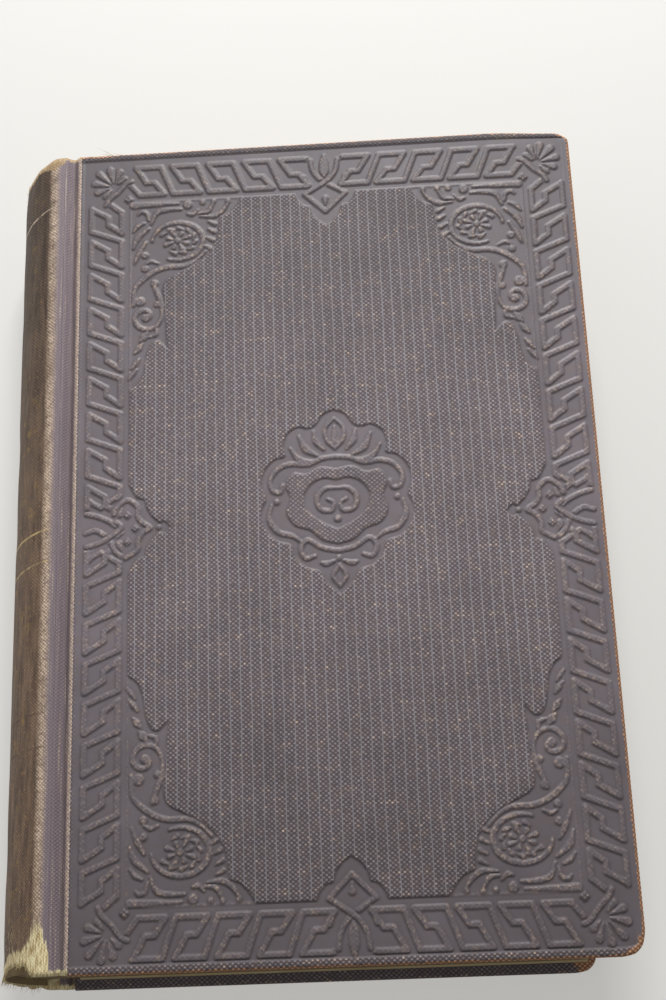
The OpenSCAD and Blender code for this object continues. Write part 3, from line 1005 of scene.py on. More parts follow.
@dataclass(frozen=True)
class Arabesque:
    """The leafy corner of the panel: a pressed field with scrolls, a flower in a ring, leaves and drops."""

    panel_x: float = 15.1
    panel_y: float = 15.0

    def at(self, quarter: Quarter, points: Sequence[Point]) -> Places:
        """Places points given from the panel's corner."""
        return quarter.place(np.asarray(points, float) + (self.panel_x, self.panel_y))

    def stamp(self, relief: Relief) -> None:
        """Stamps the field and its leaves in every quarter."""
        side = spline([(-0.4, 61.1), (2.5, 58.9), (4.2, 55.1), (4.9, 50.1), (6.3, 46.4), (8.2, 45.5),
                       (9.9, 47.0)], 5)
        belly = spline([(11.1, 48.4), (10.7, 41.6), (10.2, 33.6), (9.8, 29.1), (11.2, 25.8), (15.4, 23.5),
                        (19.7, 21.2), (23.3, 18.2), (25.8, 14.1), (26.7, 9.6), (27.1, 6.2)], 5)
        toe = spline([(30.1, 5.0), (32.5, 2.2), (33.7, -0.4)], 5)
        field_line = np.vstack([side, belly, toe, [(-0.5, -0.5)]])
        frame_line = [(0.0, 61.0), (0.0, 0.0), (34.0, 0.0)]
        for quarter in QUARTERS:
            relief.area(self.at(quarter, field_line), True)
            relief.ridge(self.at(quarter, frame_line), 0.35, level=-0.15)
            self.scrolls(relief, quarter)
            self.flower(relief, quarter)

    def scrolls(self, relief: Relief, quarter: Quarter) -> None:
        """The stems, the volute, the drops up the side and the feathers along the end."""

        def leaf(points: Sequence[Point], *widths: float, steps: int = 6) -> None:
            """Leaves one curved leaf standing."""
            relief.ridge(self.at(quarter, spline(points, steps)), widths)

        leaf([(1.1, 33.9), (1.4, 28.9), (3.4, 26.0), (7.5, 23.1), (11.6, 21.9), (16.1, 21.9), (19.8, 20.2),
              (22.7, 17.3)], 1.0, 1.5, 1.3, 0.8)
        relief.ridge(self.at(quarter, spiral((4.6, 37.8), (5.0, 1.0), (-15, 390))), (0.8, 1.4, 1.3, 1.0))
        relief.dot(self.at(quarter, [(4.7, 38.1)])[0], 1.15)
        leaf([(9.6, 36.4), (9.2, 33.1), (7.9, 29.8), (6.7, 26.4)], 1.0, 1.5, 0.8)
        for spot, radius in (((8.1, 33.9), 0.9), ((7.3, 27.1), 1.05), ((3.0, 32.7), 1.4), ((4.4, 22.1), 1.0),
                             ((4.4, 17.7), 1.0), ((17.4, 1.6), 1.3), ((21.9, 1.0), 0.8), ((25.2, 0.8), 0.7),
                             ((29.5, 1.0), 0.7)):
            relief.dot(self.at(quarter, [spot])[0], radius)
        for p, q, width in ((4.6, 43.9, 2.1), (3.0, 47.5, 1.8), (2.0, 52.3, 1.5), (1.3, 55.6, 1.1)):
            leaf([(p - 1.6, q + 1.8), (p - 0.4, q + 0.3), (p + 0.7, q - 1.2)], 0.5, width, 0.6, steps=4)
        leaf([(5.7, 44.3), (7.6, 43.6), (7.9, 41.8)], 0.6, 1.2, 0.7, steps=5)
        for points, widths in (
            ([(0.9, 15.2), (2.2, 11.8), (5.5, 8.9)], (0.8, 1.8, 0.9)),
            ([(1.3, 20.2), (2.9, 16.4), (4.6, 13.4)], (0.6, 1.5, 0.8)),
            ([(0.9, 9.6), (2.3, 7.9), (4.2, 6.9)], (0.6, 1.3, 0.7)),
            ([(0.9, 0.9), (7.0, 0.9), (14.5, 0.9)], (2.0, 1.4, 0.7)),
            ([(2.4, 3.9), (3.4, 3.1), (5.0, 3.9), (5.5, 6.0)], (0.7, 1.2, 0.8)),
            ([(6.3, 7.3), (7.9, 3.9), (11.2, 2.9), (15.3, 2.9)], (0.7, 1.4, 1.3, 0.8)),
            ([(4.6, 20.6), (6.3, 19.8), (8.3, 20.6)], (0.6, 1.1, 0.6)),
            ([(20.3, 3.5), (18.8, 4.9), (17.4, 4.6)], (0.6, 1.2, 0.8)),
            ([(20.7, 4.6), (23.5, 4.1), (25.2, 1.2)], (0.6, 1.3, 0.7)),
            ([(21.1, 5.6), (25.2, 5.8), (28.1, 3.9), (29.9, 1.0)], (0.6, 1.4, 1.2, 0.6)),
        ):
            leaf(points, *widths)
        for p, q in ((23.1, 15.9), (24.0, 13.3), (24.5, 10.6), (24.6, 8.0)):
            leaf([(p - 0.9, q - 0.5), (p + 0.9, q + 0.5)], 0.7, 1.3, steps=2)

    def flower(self, relief: Relief, quarter: Quarter) -> None:
        """A ring left open at the foot, round a flower of drops about a boss."""
        a = np.radians(np.linspace(112, -176, 30))
        ring = np.stack([14.2 + 7.7 * np.cos(a), 13.6 + 6.2 * np.sin(a)], 1)
        relief.ridge(self.at(quarter, ring), (0.7, 1.4, 1.5, 1.3, 0.8))
        centre = np.array([14.2, 13.4])
        relief.dot(self.at(quarter, [centre])[0], 0.9)
        for k in range(8):
            a = math.radians(k * 45 + 22)
            ray = np.array([math.cos(a) * 1.16, math.sin(a) * 0.94])
            length = 3.3 if k % 2 else 2.7
            relief.ridge(self.at(quarter, [centre + ray * 1.5, centre + ray * length]), (0.5, 1.25))
        for a in range(-150, 100, 31):
            turns = np.radians(np.linspace(a, a + 20, 4))
            inwards = np.linspace(1, 0.86, 4)[:, None]
            comma = np.stack([5.5 * np.cos(turns), 4.3 * np.sin(turns)], 1) * inwards
            relief.ridge(self.at(quarter, centre + comma), (1.2, 0.8, 0.4))


@dataclass(frozen=True)
class Cartouche:
    """The middle of the panel: a pressed, lobed field with a palmette, scrolls and grained islands."""

    centre: Point = (AXIS_X, 123.6)

    def both(self, points: Sequence[Point]) -> tuple[Places, Places]:
        """Places points given from the centre, and their mirror image."""
        p = np.asarray(points, float)
        return p + self.centre, p * (-1, 1) + self.centre

    def stamp(self, relief: Relief) -> None:
        """Stamps the field, its islands and its leaves."""
        lobed = [(0.0, 27.0), (3.2, 25.6), (5.4, 22.6), (7.6, 21.6), (10.4, 22.2), (13.6, 20.2), (14.8, 16.6),
                 (14.4, 13.6), (17.6, 12.6), (20.4, 9.4), (21.2, 5.2), (20.0, 1.2), (21.4, -2.2),
                 (20.6, -7.0), (17.2, -11.0), (13.4, -12.4), (12.2, -16.0), (9.0, -19.0), (5.6, -20.2),
                 (3.6, -23.4), (0.0, -27.0)]
        island = [(0.0, 9.2), (4.6, 9.8), (8.6, 8.0), (12.2, 8.4), (14.4, 5.2), (13.0, 1.2), (14.2, -3.0),
                  (12.0, -6.8), (7.8, -8.4), (4.2, -11.4), (0.0, -12.6)]
        inner = [(0.0, 6.0), (3.8, 6.6), (7.4, 4.8), (9.4, 1.2), (8.0, -3.2), (4.0, -6.4), (0.0, -8.4)]
        for half, pressed in ((lobed, True), (island, False), (inner, True)):
            right = spline(half, 5)
            relief.area(np.vstack([right, right[::-1] * (-1, 1)]) + self.centre, pressed)
        for side in self.both(spline([(0.0, 24.4), (2.6, 21.4), (2.2, 17.8), (0.0, 15.4)], 5)):
            relief.ridge(side, (0.6, 1.1, 0.9))
        relief.ridge(np.array([(0.0, 21.8), (0.0, 17.4)]) + self.centre, (0.7, 1.9))
        leaves = (
            ([(3.2, 15.0), (5.2, 17.6), (6.0, 20.6)], (0.7, 1.9, 0.7)),
            ([(4.8, 13.2), (8.2, 15.4), (10.2, 19.4)], (0.7, 2.0, 0.7)),
            ([(6.4, 11.6), (10.2, 12.4), (12.8, 16.0)], (0.7, 1.8, 0.6)),
            ([(0.0, 12.8), (4.0, 12.4), (8.0, 10.8), (12.4, 11.2), (16.0, 10.2), (18.6, 7.0), (18.0, 3.6),
              (15.9, 3.0), (15.2, 5.0)], (1.2, 1.3, 1.3, 1.2, 1.0)),
            ([(18.4, -0.6), (19.2, -4.4), (16.8, -8.4), (12.8, -9.8), (10.4, -11.6)], (0.7, 1.6, 1.3, 0.7)),
            ([(0.0, -14.6), (4.4, -13.6), (8.6, -11.2), (10.6, -13.6), (9.2, -16.4), (6.8, -15.8)],
             (1.2, 1.3, 1.3, 1.0)),
            ([(1.2, -17.4), (3.6, -18.2), (5.0, -17.8)], (0.7, 1.5, 0.6)),
            ([(0.0, -24.8), (1.8, -21.6), (0.0, -18.6)], (0.6, 1.2, 0.8)),
            ([(0.0, 3.6), (3.4, 3.4), (5.6, 0.8), (4.6, -2.4), (1.8, -3.0), (0.9, -0.8), (2.6, 0.4)],
             (0.8, 1.4, 1.2, 0.8)),
        )
        for points, widths in leaves:
            for side in self.both(spline(points, 6)):
                relief.ridge(side, widths)
        for spot, radius in (((0.0, -5.4), 0.9), ((17.0, 0.2), 0.8), ((0.0, -16.6), 0.8)):
            for side in self.both([spot, spot]):
                relief.ridge(side, 2 * radius)


# ---------------------------------------------------------------- covers


@dataclass
class Cover:
    """One case board in its cloth: a stamped outer face, soft edges, and turn-ins glued round the board."""

    side: Side
    fine: float  # spacing of the grid that carries the stamping
    cloth: bpy.types.Material
    board: bpy.types.Material
    edge_r: float = 0.9
    ruffle: float = 0.04
    pocket: tuple[float, ...] = (1.3, 145.9, 2.7, 234.4)  # the stamped faces' left, right, foot and top
    cuts: tuple[float, ...] = (60.5, 118.5, 176.5)  # where one face meets the next
    relief: Relief = field(init=False)

    def lines(self, ends: Sequence[float]) -> Places:
        """Places the grid's lines along one side.

        Args:
            ends: Where each zone ends, with a line there.

        Returns:
            The lines' places, from the first edge.
        """
        start, parts = self.edge_r, []
        for end in ends:
            count = max(1, round((end - start) / self.fine))
            parts.append(np.linspace(start, end, count, endpoint=False))
            start = end
        return np.concatenate([*parts, [start]])

    def stamp(self) -> None:
        """Stamps the whole pattern over the grid."""
        w, h, e = BOOK.cover_w, BOOK.cover_h, self.edge_r
        left, right, foot, top = self.pocket
        xs = np.concatenate([[0.0], self.lines((left, PANEL[0], PANEL[1], right, w - e))])
        ys = self.lines((foot, *self.cuts, top, h - e))
        self.relief = Relief(xs, ys)
        for ornament in (KeyBorder(), Arabesque(), Knots(), Cartouche()):
            ornament.stamp(self.relief)
        self.relief.height *= smooth(e, e + 1.6, w - xs)[None, :]

    def bruise(self, places: Places) -> Places:
        """Knocks the two outer corners in and down, and lets the head's edge fall away towards its corner."""
        p = np.array(places, float)
        w, h = BOOK.cover_w, BOOK.cover_h
        p[:, 1] -= 1.4 * smooth(26, 0, w - p[:, 0]) * smooth(5, 0, h - p[:, 1])
        for y, size, reach, inwards in ((0.0, 1.0, 7.0, 0.8), (h, 0.8, 5.0, -0.8)):
            away = np.hypot(p[:, 0] - w, p[:, 1] - y)
            knock = (size * (1 - smooth(0, reach, away)))[:, None]
            p += knock * (-1.0, inwards, -0.35)
        return p

    def corner(self, x: Places, y: Places, inset: float) -> tuple[Places, Places]:
        """Draws a grid's two square outer corners in to round ones.

        Args:
            x: The places' x.
            y: Their y.
            inset: How far inside the cover's outline the grid's own edge is.

        Returns:
            The new x and y.
        """
        r = BOOK.corner_r - inset
        right, top = BOOK.cover_w - BOOK.corner_r, BOOK.cover_h - BOOK.corner_r
        a = np.clip((x - right) / r, 0, 1)
        b = np.clip(np.where(y > BOOK.cover_h / 2, y - top, BOOK.corner_r - y) / r, 0, 1)
        both = (a > 0) & (b > 0)
        nx = np.where(both, right + a * np.sqrt(1 - b * b / 2) * r, x)
        ny = b * np.sqrt(1 - a * a / 2) * r
        ny = np.where(both, np.where(y > BOOK.cover_h / 2, top + ny, BOOK.corner_r - ny), y)
        return nx, ny

    def inwards(self, rest: Places) -> tuple[Places, Places, Places]:
        """Measures how far in places are from the fore-edge, the tail and the head."""
        return BOOK.cover_w - rest[:, 0], rest[:, 1], BOOK.cover_h - rest[:, 1]

    def on_face(self, rest: Places) -> Places:
        """Tells which places are on the outer face."""
        return rest[:, 2] > BOOK.book_t - BOOK.cloth_t - 0.02

    def marks(self, rest: Places) -> dict[str, Places]:
        """Works out what the cloth's material reads at each vertex.

        Args:
            rest: The vertices' places on the cover.

        Returns:
            How pressed, ribbed, worn and bare each is, and its grime and painted shade, by the attribute's
            name.
        """
        i, j = (np.clip(np.searchsorted(line, rest[:, axis] - 1e-3), 0, len(line) - 1)
                for axis, line in enumerate((self.relief.xs, self.relief.ys)))
        outer = self.on_face(rest)
        maps = (self.relief.pressed, self.relief.panel, *self.relief.slopes())
        pressed, panel, crease, worn = (values[j, i] * outer for values in maps)
        fore, tail, head = self.inwards(rest)
        side = np.minimum.reduce([fore, tail, head])
        upper = smooth(3.0, 0.5, BOOK.book_t - rest[:, 2])

        # The plain strips outside the brass: the tail's is rubbed, and the head's is darkened with painted
        # shade.
        strips = np.maximum(smooth(2.3, 1.7, tail), 0.1 * smooth(2.1, 1.6, head)) * outer
        crease = np.maximum(crease, 0.34 * smooth(2.1, 1.6, head) * outer)

        # The edges are worn through, most at the top, at the corners and beside the joint's head.
        tail_corner = smooth(9, 0, np.hypot(fore, tail))
        head_corner = smooth(6, 0, np.hypot(fore, head))
        rims = np.maximum.reduce([smooth(1.25, 0.35, fore) * 0.8, smooth(0.95, 0.2, tail) * 0.7,
                                  smooth(0.9, 0.1, head) * 0.72])
        hinge = smooth(17, 4, rest[:, 0]) * smooth(1.5, 0.2, head)
        rounded = np.maximum(tail_corner, head_corner) * smooth(2.6, 0.7, side)
        edges = np.maximum(np.maximum(rims, 0.85 * hinge) * (0.3 + 0.7 * upper), rounded)
        worn = np.clip(worn + 0.4 * strips + edges, 0, 1)
        bare = np.clip(edges + (0.3 * head_corner + 0.7 * tail_corner) * edges, 0, 1)

        # The leafy corners stand highest and are rubbed the most.
        from_side = np.minimum(rest[:, 0], fore) - PANEL[0]
        from_end = np.minimum(rest[:, 1] - PANEL[2], PANEL[3] - rest[:, 1])
        leafy = smooth(36, 26, from_side) * smooth(62, 50, from_end) * (from_side > 0) * (from_end > 0)
        worn = np.clip(worn * (1 + 0.8 * leafy), 0, 1)
        return {"pressed": pressed, "panel": panel, "crease": crease, "worn": worn, "bare": bare}

    def settle(self, bm: bmesh.types.BMesh, places: Places) -> None:
        """Puts a piece in the frame, turned over if it is the rear cover's.

        Args:
            bm: The piece.
            places: Where its vertices would be on the front cover, in millimetres.
        """
        if self.side is Side.REAR:
            places = BOOK.turned_over(places)
            bmesh.ops.reverse_faces(bm, faces=bm.faces[:])
        put(bm, BOOK.in_frame(places))

    def finish_piece(self, bm: bmesh.types.BMesh, name: str, replaced: str) -> bpy.types.Object:
        """Writes one piece of the skin, in the cloth.

        Args:
            bm: The piece, on the front cover and in millimetres.
            name: Its name.
            replaced: The solid that it stands for.

        Returns:
            The piece.
        """
        bmesh.ops.remove_doubles(bm, verts=bm.verts[:], dist=0.002)
        bmesh.ops.recalc_face_normals(bm, faces=bm.faces[:])
        for edge in bm.edges:
            if len(edge.link_faces) == 2 and edge.calc_face_angle(0) > 1.0:
                edge.smooth = False
        rest = places_of(bm)
        swell = np.clip(ripple(rest[:, :2], 34, 5), -1, 2) * self.ruffle
        places = self.bruise(rest)
        places[:, 2] += swell * self.on_face(rest) * smooth(0.5, 6, np.minimum.reduce(self.inwards(rest)))
        self.settle(bm, places)
        piece = mesh_object(name, bm)
        for key, value in self.marks(rest).items():
            set_attribute(piece, key, value)
        piece.data.materials.append(self.cloth)
        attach(piece, self.side.body)
        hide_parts(replaced)
        log.info("%s: %d faces", name, len(piece.data.polygons))
        return piece

    def border(self, whole: bool) -> bmesh.types.BMesh:
        """Makes the skin's outer part: the rims, the soft edges and the turn-ins.

        Args:
            whole: Whether the stamped face is part of it too.

        Returns:
            The piece.
        """
        bm = grid(len(self.relief.xs), len(self.relief.ys))
        gx, gy = np.meshgrid(self.relief.xs, self.relief.ys)
        nx, ny = self.corner(gx.ravel(), gy.ravel(), self.edge_r)
        put(bm, np.stack([nx, ny, BOOK.book_t + self.relief.height.ravel()], 1))
        outline = [e for e in bm.edges if e.is_boundary and max(v.co.x for v in e.verts) > TINY]
        if not whole:
            self.sink(bm)
        self.wrap(bm, outline)
        return bm

    def sink(self, bm: bmesh.types.BMesh) -> None:
        """Takes the stamped faces out of the skin, and leaves a flat floor that their slabs lie on."""
        left, right, foot, head = self.pocket
        middle = [f for f in bm.faces if left < f.calc_center_median().x < right
                  and foot < f.calc_center_median().y < head]
        bmesh.ops.delete(bm, geom=middle, context="FACES")
        pocket = [e for e in bm.edges if e.is_boundary and all(
            left - 0.1 < v.co.x < right + 0.1 and foot - 0.1 < v.co.y < head + 0.1 for v in e.verts)]
        made = bmesh.ops.extrude_edge_only(bm, edges=pocket)["geom"]
        for vert in made_of(made, bmesh.types.BMVert):
            vert.co.z = BOOK.book_t - BOOK.cloth_t + 0.01
        floor = [e for e in made_of(made, bmesh.types.BMEdge) if e.is_boundary]
        bmesh.ops.holes_fill(bm, edges=floor, sides=0)

    def profile(self) -> list[Point]:
        """How the cloth runs over an edge and under the board: distances in from the outline, and heights."""
        r, top, cloth = self.edge_r, BOOK.book_t, BOOK.cloth_t
        under = top - BOOK.board_t - 2 * cloth
        turns = [math.radians(a) for a in (30, 60, 90)]
        rows = [(r * (1 - math.sin(a)), top - r * (1 - math.cos(a))) for a in turns]
        rows += [(r * (1 - math.cos(a)), under + r * (1 - math.sin(a))) for a in (0.0, *turns)]
        return rows + [(BOOK.turn_in, under), (BOOK.turn_in, under + cloth), (cloth, under + cloth),
                       (cloth, top - cloth)]

    def wrap(self, bm: bmesh.types.BMesh, outline: list[bmesh.types.BMEdge]) -> None:
        """Turns the skin over the board's three free edges, and closes it.

        Args:
            bm: The skin.
            outline: The edges that it turns over.
        """
        w, h, r = BOOK.cover_w, BOOK.cover_h, BOOK.corner_r
        base = {}
        for vert in {v for e in outline for v in e.verts}:
            x, y = vert.co.x, vert.co.y
            cy = min(max(y, r), h - r)
            normal = Vector((x - (w - r) if x > w - r else 0.0, y - cy, 0.0))
            base[vert] = (Vector((x, y, 0.0)), normal.normalized())
        loop = outline
        for back, z in self.profile():
            made = bmesh.ops.extrude_edge_only(bm, edges=loop)["geom"]
            loop = made_of(made, bmesh.types.BMEdge)
            following = {}
            for vert in made_of(made, bmesh.types.BMVert):
                others = (e.other_vert(vert) for e in vert.link_edges)
                place, normal = following[vert] = next(base[other] for other in others if other in base)
                if back > r:
                    vert.co = (min(place.x, w - back), min(max(place.y, back), h - back), z)
                else:
                    vert.co = place + normal * (self.edge_r - back)
                    vert.co.z = z
            base = following
        loop.append(bm.edges.new([v for v in base if v.co.x < TINY]))
        bmesh.ops.holes_fill(bm, edges=loop, sides=0)
        side = [e for e in bm.edges if e.is_boundary and max(v.co.x for v in e.verts) < TINY]
        bmesh.ops.holes_fill(bm, edges=side, sides=0)

    def slab(self, low: float, high: float) -> bmesh.types.BMesh:
        """Makes one face of the cover, between two heights, as a slab with its stamping on top."""
        xs, ys = self.relief.xs, self.relief.ys
        rows, columns = ((line > start - TINY) & (line < end + TINY)
                         for line, start, end in ((ys, low, high), (xs, *self.pocket[:2])))
        xs, ys = xs[columns], ys[rows]
        bm = grid(len(xs), len(ys))
        gx, gy = np.meshgrid(xs, ys)
        heights = self.relief.height[np.ix_(rows, columns)].ravel()
        put(bm, np.stack([gx.ravel(), gy.ravel(), BOOK.book_t + heights], 1))
        made = bmesh.ops.extrude_edge_only(bm, edges=[e for e in bm.edges if e.is_boundary])["geom"]
        for vert in made_of(made, bmesh.types.BMVert):
            vert.co.z = BOOK.book_t - BOOK.cloth_t + 0.02
        bmesh.ops.holes_fill(bm, edges=[e for e in bm.edges if e.is_boundary], sides=0)
        return bm

    def board_piece(self) -> bpy.types.Object:
        """The millboard inside, with soft edges, and outer corners bruised with the cloth's."""
        bm = bmesh.new()
        radius = BOOK.corner_r - BOOK.cloth_t
        corner = [(BOOK.cover_w - BOOK.corner_r + radius * math.sin(a), BOOK.corner_r - radius * math.cos(a))
                  for a in np.radians(np.linspace(0, 90, 9))]
        lower = [(0.0, BOOK.cloth_t), *corner]
        outline = lower + [(x, BOOK.cover_h - y) for x, y in lower[::-1]]
        low = BOOK.book_t - BOOK.cloth_t - BOOK.board_t
        face = bm.faces.new([bm.verts.new((x, y, low)) for x, y in outline])
        made = bmesh.ops.extrude_face_region(bm, geom=[face])["geom"]
        bmesh.ops.translate(bm, vec=(0, 0, BOOK.board_t), verts=made_of(made, bmesh.types.BMVert))
        rims = [e for e in bm.edges if abs(e.verts[0].co.z - e.verts[1].co.z) < TINY
                and max(v.co.x for v in e.verts) > TINY]
        bmesh.ops.bevel(bm, geom=rims, offset=0.3, segments=2, profile=0.5, affect="EDGES", material=-1)
        bmesh.ops.recalc_face_normals(bm, faces=bm.faces[:])
        self.settle(bm, self.bruise(places_of(bm)))
        piece = mesh_object(self.side.label + "_millboard", bm, False)
        piece.data.materials.append(self.board)
        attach(piece, self.side.body)
        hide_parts(self.side.label + "_board")
        return piece

    def build(self) -> None:
        """Builds the cover's skin and its board."""
        self.stamp()
        name = self.side.label
        replaced = name + "_cover_cloth"
        self.board_piece()
        self.finish_piece(self.border(self.side is Side.REAR), name + "_cover_border", replaced)
        if self.side is Side.FRONT:
            levels = (self.pocket[2], *self.cuts, self.pocket[3])
            for part, low, high in zip(("tail", "lower", "upper", "head"), levels, levels[1:]):
                self.finish_piece(self.slab(low, high), f"{name}_face_{part}", replaced)


# ---------------------------------------------------------------- joints, spine and what lies under it


def strip(section: Places, y0: float | Places, y1: float | Places, rows: int) -> bmesh.types.BMesh:
    """A sheet that follows a section in x and z, run from one end to the other.

    Args:
        section: The section's points.
        y0: Where it starts at the tail, in whole or for each of its points.
        y1: Where it ends at the head.
        rows: How many rows of faces.

    Returns:
        The sheet, in millimetres, with one layer of faces.
    """
    bm = grid(len(section), rows + 1)
    y = y0 + (y1 - y0) * np.linspace(0, 1, rows + 1)[:, None]
    x, y, z = np.broadcast_arrays(section[:, 0], y, section[:, 1])
    put(bm, np.stack([x.ravel(), y.ravel(), z.ravel()], 1))
    return bm


def outwards(bm: bmesh.types.BMesh, thickness: float) -> None:
    """Faces a sheet of the back away from the leaves, and gives it a thickness inwards, in millimetres."""
    bmesh.ops.recalc_face_normals(bm, faces=bm.faces[:])
    if sum(f.normal.x for f in bm.faces) > 0:
        bmesh.ops.reverse_faces(bm, faces=bm.faces[:])
    bmesh.ops.solidify(bm, geom=bm.faces[:], thickness=thickness * MM)


@dataclass
class Joint:
    """The cloth over one joint, moulded down into the groove between the board and the shoulder."""

    side: Side
    cloth: bpy.types.Material
    columns: int = 22
    rows: int = 160
    short: float = 0.25  # how far it stops short of the cover's ends
    seam: float = 5.1  # where the spine's cloth takes over

    def build(self) -> bpy.types.Object:
        """Makes the strip."""
        rear = self.side is Side.REAR
        name = self.side.label + "_joint_strip"
        w = BOOK.groove_w
        xs = -0.02 - (w + 0.06) * np.linspace(0, 1, self.columns)
        z = BOOK.book_t - BOOK.groove_d * (1 - np.cos(2 * math.pi * xs / w)) / 2
        bm = strip(np.stack([xs, z], 1), self.short, BOOK.cover_h - self.short, self.rows)
        p = places_of(bm)
        across = -p[:, 0]
        p[:, 2] += 0.08 * ripple(p[:, :2] * (1, 0.6), 9, 11) * np.sin(math.pi * np.clip(across / w, 0, 1))
        if rear:
            p = BOOK.turned_over(p)
        put(bm, BOOK.in_frame(p))
        bmesh.ops.recalc_face_normals(bm, faces=bm.faces[:])
        up = sum(f.normal.z for f in bm.faces)
        if (up > 0) == rear:
            bmesh.ops.reverse_faces(bm, faces=bm.faces[:])
        bmesh.ops.solidify(bm, geom=bm.faces[:], thickness=BOOK.cloth_t * MM)
        piece = mesh_object(name, bm)
        own = coordinates(piece) - (*BOOK.origin, 0.0)
        if rear:
            own += (BOOK.cock_x, BOOK.cock_y, 0.0)
        beyond, along = -own[:, 0] - self.seam, own[:, 1]
        fray = 0.8 * np.maximum(smooth(3.0, 0, along), smooth(2.4, 0, BOOK.cover_h - along))
        for key, value in (("around", beyond), ("edge", beyond), ("along", along), ("fray", fray)):
            set_attribute(piece, key, value)
        piece.data.materials.append(self.cloth)
        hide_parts(name.replace("strip", "cloth"))
        if rear:
            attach(piece, "rear_half")
        else:
            a, b = (BOOK.in_frame(np.array([(x, 117.0, 40.8)]))[0] for x in (-3.6, -1.4))
            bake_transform(piece)
        log.info("%s", name)
        return piece


@dataclass
class Spine:
    """The spine: cloth from joint to joint over a card inlay, torn and frayed at both ends."""

    cloth: bpy.types.Material
    card: bpy.types.Material
    lining: bpy.types.Material
    scrim: bpy.types.Material
    cord: bpy.types.Material
    thread: bpy.types.Material
    arc_parts: int = 52
    rows: int = 170
    layer_parts: int = 40
    cord_foot: float = 17.0  # where the sewing frame's cords start, and the length that they share out
    cord_run: float = 201.0
    cord_count: int = 5
    cord_half: float = 0.7
    torn_threads: int = 150
    crest_threads: int = 46

    def section(self) -> Places:
        """The cloth's outer face, from the front joint round to the rear one, as x, z and distance along."""
        flat = [(x, BOOK.book_t) for x in np.linspace(-5.1, -7.4, 6)]
        arc = [BOOK.back(0.0, a) for a in np.linspace(BOOK.half_angle, -BOOK.half_angle, self.arc_parts)]
        line = flat + arc[1:-1] + [(x, 0.0) for x, _ in reversed(flat)]
        p = np.array(line, float)
        for _ in range(2):
            p[1:-1] = (p[:-2] + 2 * p[1:-1] + p[2:]) / 4
        s = np.concatenate([[0], np.cumsum(np.hypot(*np.diff(p, axis=0).T))])
        return np.column_stack([p, s])

    def torn(self, s: Places, total: float) -> tuple[Places, Places]:
        """Where the torn ends of the cloth run.

        Args:
            s: Distance round from the front joint.
            total: The whole distance round.

        Returns:
            The tail's and the head's edge, in millimetres along.
        """
        rng = np.random.default_rng(SEED)
        ragged = np.convolve(rng.normal(0, 1, len(s) + 2), (0.25, 0.5, 0.25), "valid")
        middle = smooth(3.5, 7.0, s) * smooth(total - 3.5, total - 8.0, s)
        arch = smooth(5.0, 8.5, s) * smooth(23.0, 17.0, s)
        tail = 0.25 + 2.3 * arch + middle * (0.7 + 0.5 * ragged)
        head = BOOK.cover_h - 0.25 - middle * (0.35 + 0.12 * np.sin(s * 0.5) + 0.08 * ragged)
        return tail, head

    def build_cloth(self) -> bpy.types.Object:
        """The outer cloth."""
        section = self.section()
        s = section[:, 2]
        tail, head = self.torn(s, s[-1])
        bm = strip(section[:, :2], tail, head, self.rows)
        p = places_of(bm)
        rows = self.rows + 1
        around = np.tile(s, rows)
        along = p[:, 1].copy()
        angle = (around / s[-1] - 0.5) * 2 * BOOK.half_angle
        lift = 0.16 * ripple(np.stack([around * 2.2, along * 0.5], 1), 14, 21)
        ends = smooth(14, 2, along) + smooth(BOOK.cover_h - 9, BOOK.cover_h - 1, along)
        lift *= smooth(3, 9, around) * smooth(s[-1] - 3, s[-1] - 9, around)
        lift = np.minimum(lift - 0.25 * ends, 0.05)
        p[:, 0] -= lift * np.cos(angle)
        put(bm, BOOK.in_frame(BOOK.lean(p)))
        area = sum(f.calc_area() for f in bm.faces)
        crest = np.exp(-(((around - 3.4) / 3.0) ** 2))
        from_tail, from_head = along - np.tile(tail, rows), np.tile(head, rows) - along
        fray = np.maximum(smooth(6.5 + 17 * crest, 0, from_tail), smooth(2.2 + 3.5 * crest, 0, from_head))
        edge = np.minimum(around, s[-1] - around)
        for name, values in (("around", around), ("edge", edge), ("along", along), ("fray", fray)):
            layer = bm.verts.layers.float.new(name)
            for vert, value in zip(bm.verts, values):
                vert[layer] = value
        outwards(bm, BOOK.cloth_t)
        piece = mesh_object("spine_cloth_round", bm)
        piece.data.materials.append(self.cloth)
        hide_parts("spine_cloth")
        self.flex(piece)
        log.info("spine cloth")
        return piece

    def flex(self, piece: bpy.types.Object) -> None:
        """Bakes a piece of the back's placing into its mesh.
        """
        x, y, _ = BOOK.in_frame(np.array([(-20.7, 115.3, 0.0)]))[0]
        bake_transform(piece)

    def round(self, depth: float) -> Places:
        """A layer's section round the back, at a depth below the cloth's outer face."""
        most = BOOK.half_angle * 15 / 16
        return np.array([BOOK.back(depth, a) for a in np.linspace(most, -most, self.layer_parts)])

    def layer(self, depth: float, thickness: float, y0: float, y1: float, rows: int) -> bmesh.types.BMesh:
        """Makes a curved layer under the cloth.

        Args:
            depth: Depth of its outer face below the cloth's.
            thickness: Its thickness.
            y0: Its lower end.
            y1: Its upper end.
            rows: Rows of faces along it.

        Returns:
            The layer, in the frame.
        """
        bm = strip(self.round(depth), y0, y1, rows)
        put(bm, BOOK.lean(places_of(bm)))
        put(bm, BOOK.in_frame(places_of(bm)))
        outwards(bm, thickness)
        return bm

    def lay(self, name: str, bm: bmesh.types.BMesh, finish: bpy.types.Material, solid: str) -> bpy.types.Object:
        """Writes a layer of the back.

        Args:
            name: The piece's name.
            bm: The layer.
            finish: Its material.
            solid: The solid that it stands for.

        Returns:
            The piece.
        """
        piece = mesh_object(name, bm)
        piece.data.materials.append(finish)
        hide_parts(solid)
        self.flex(piece)
        return piece

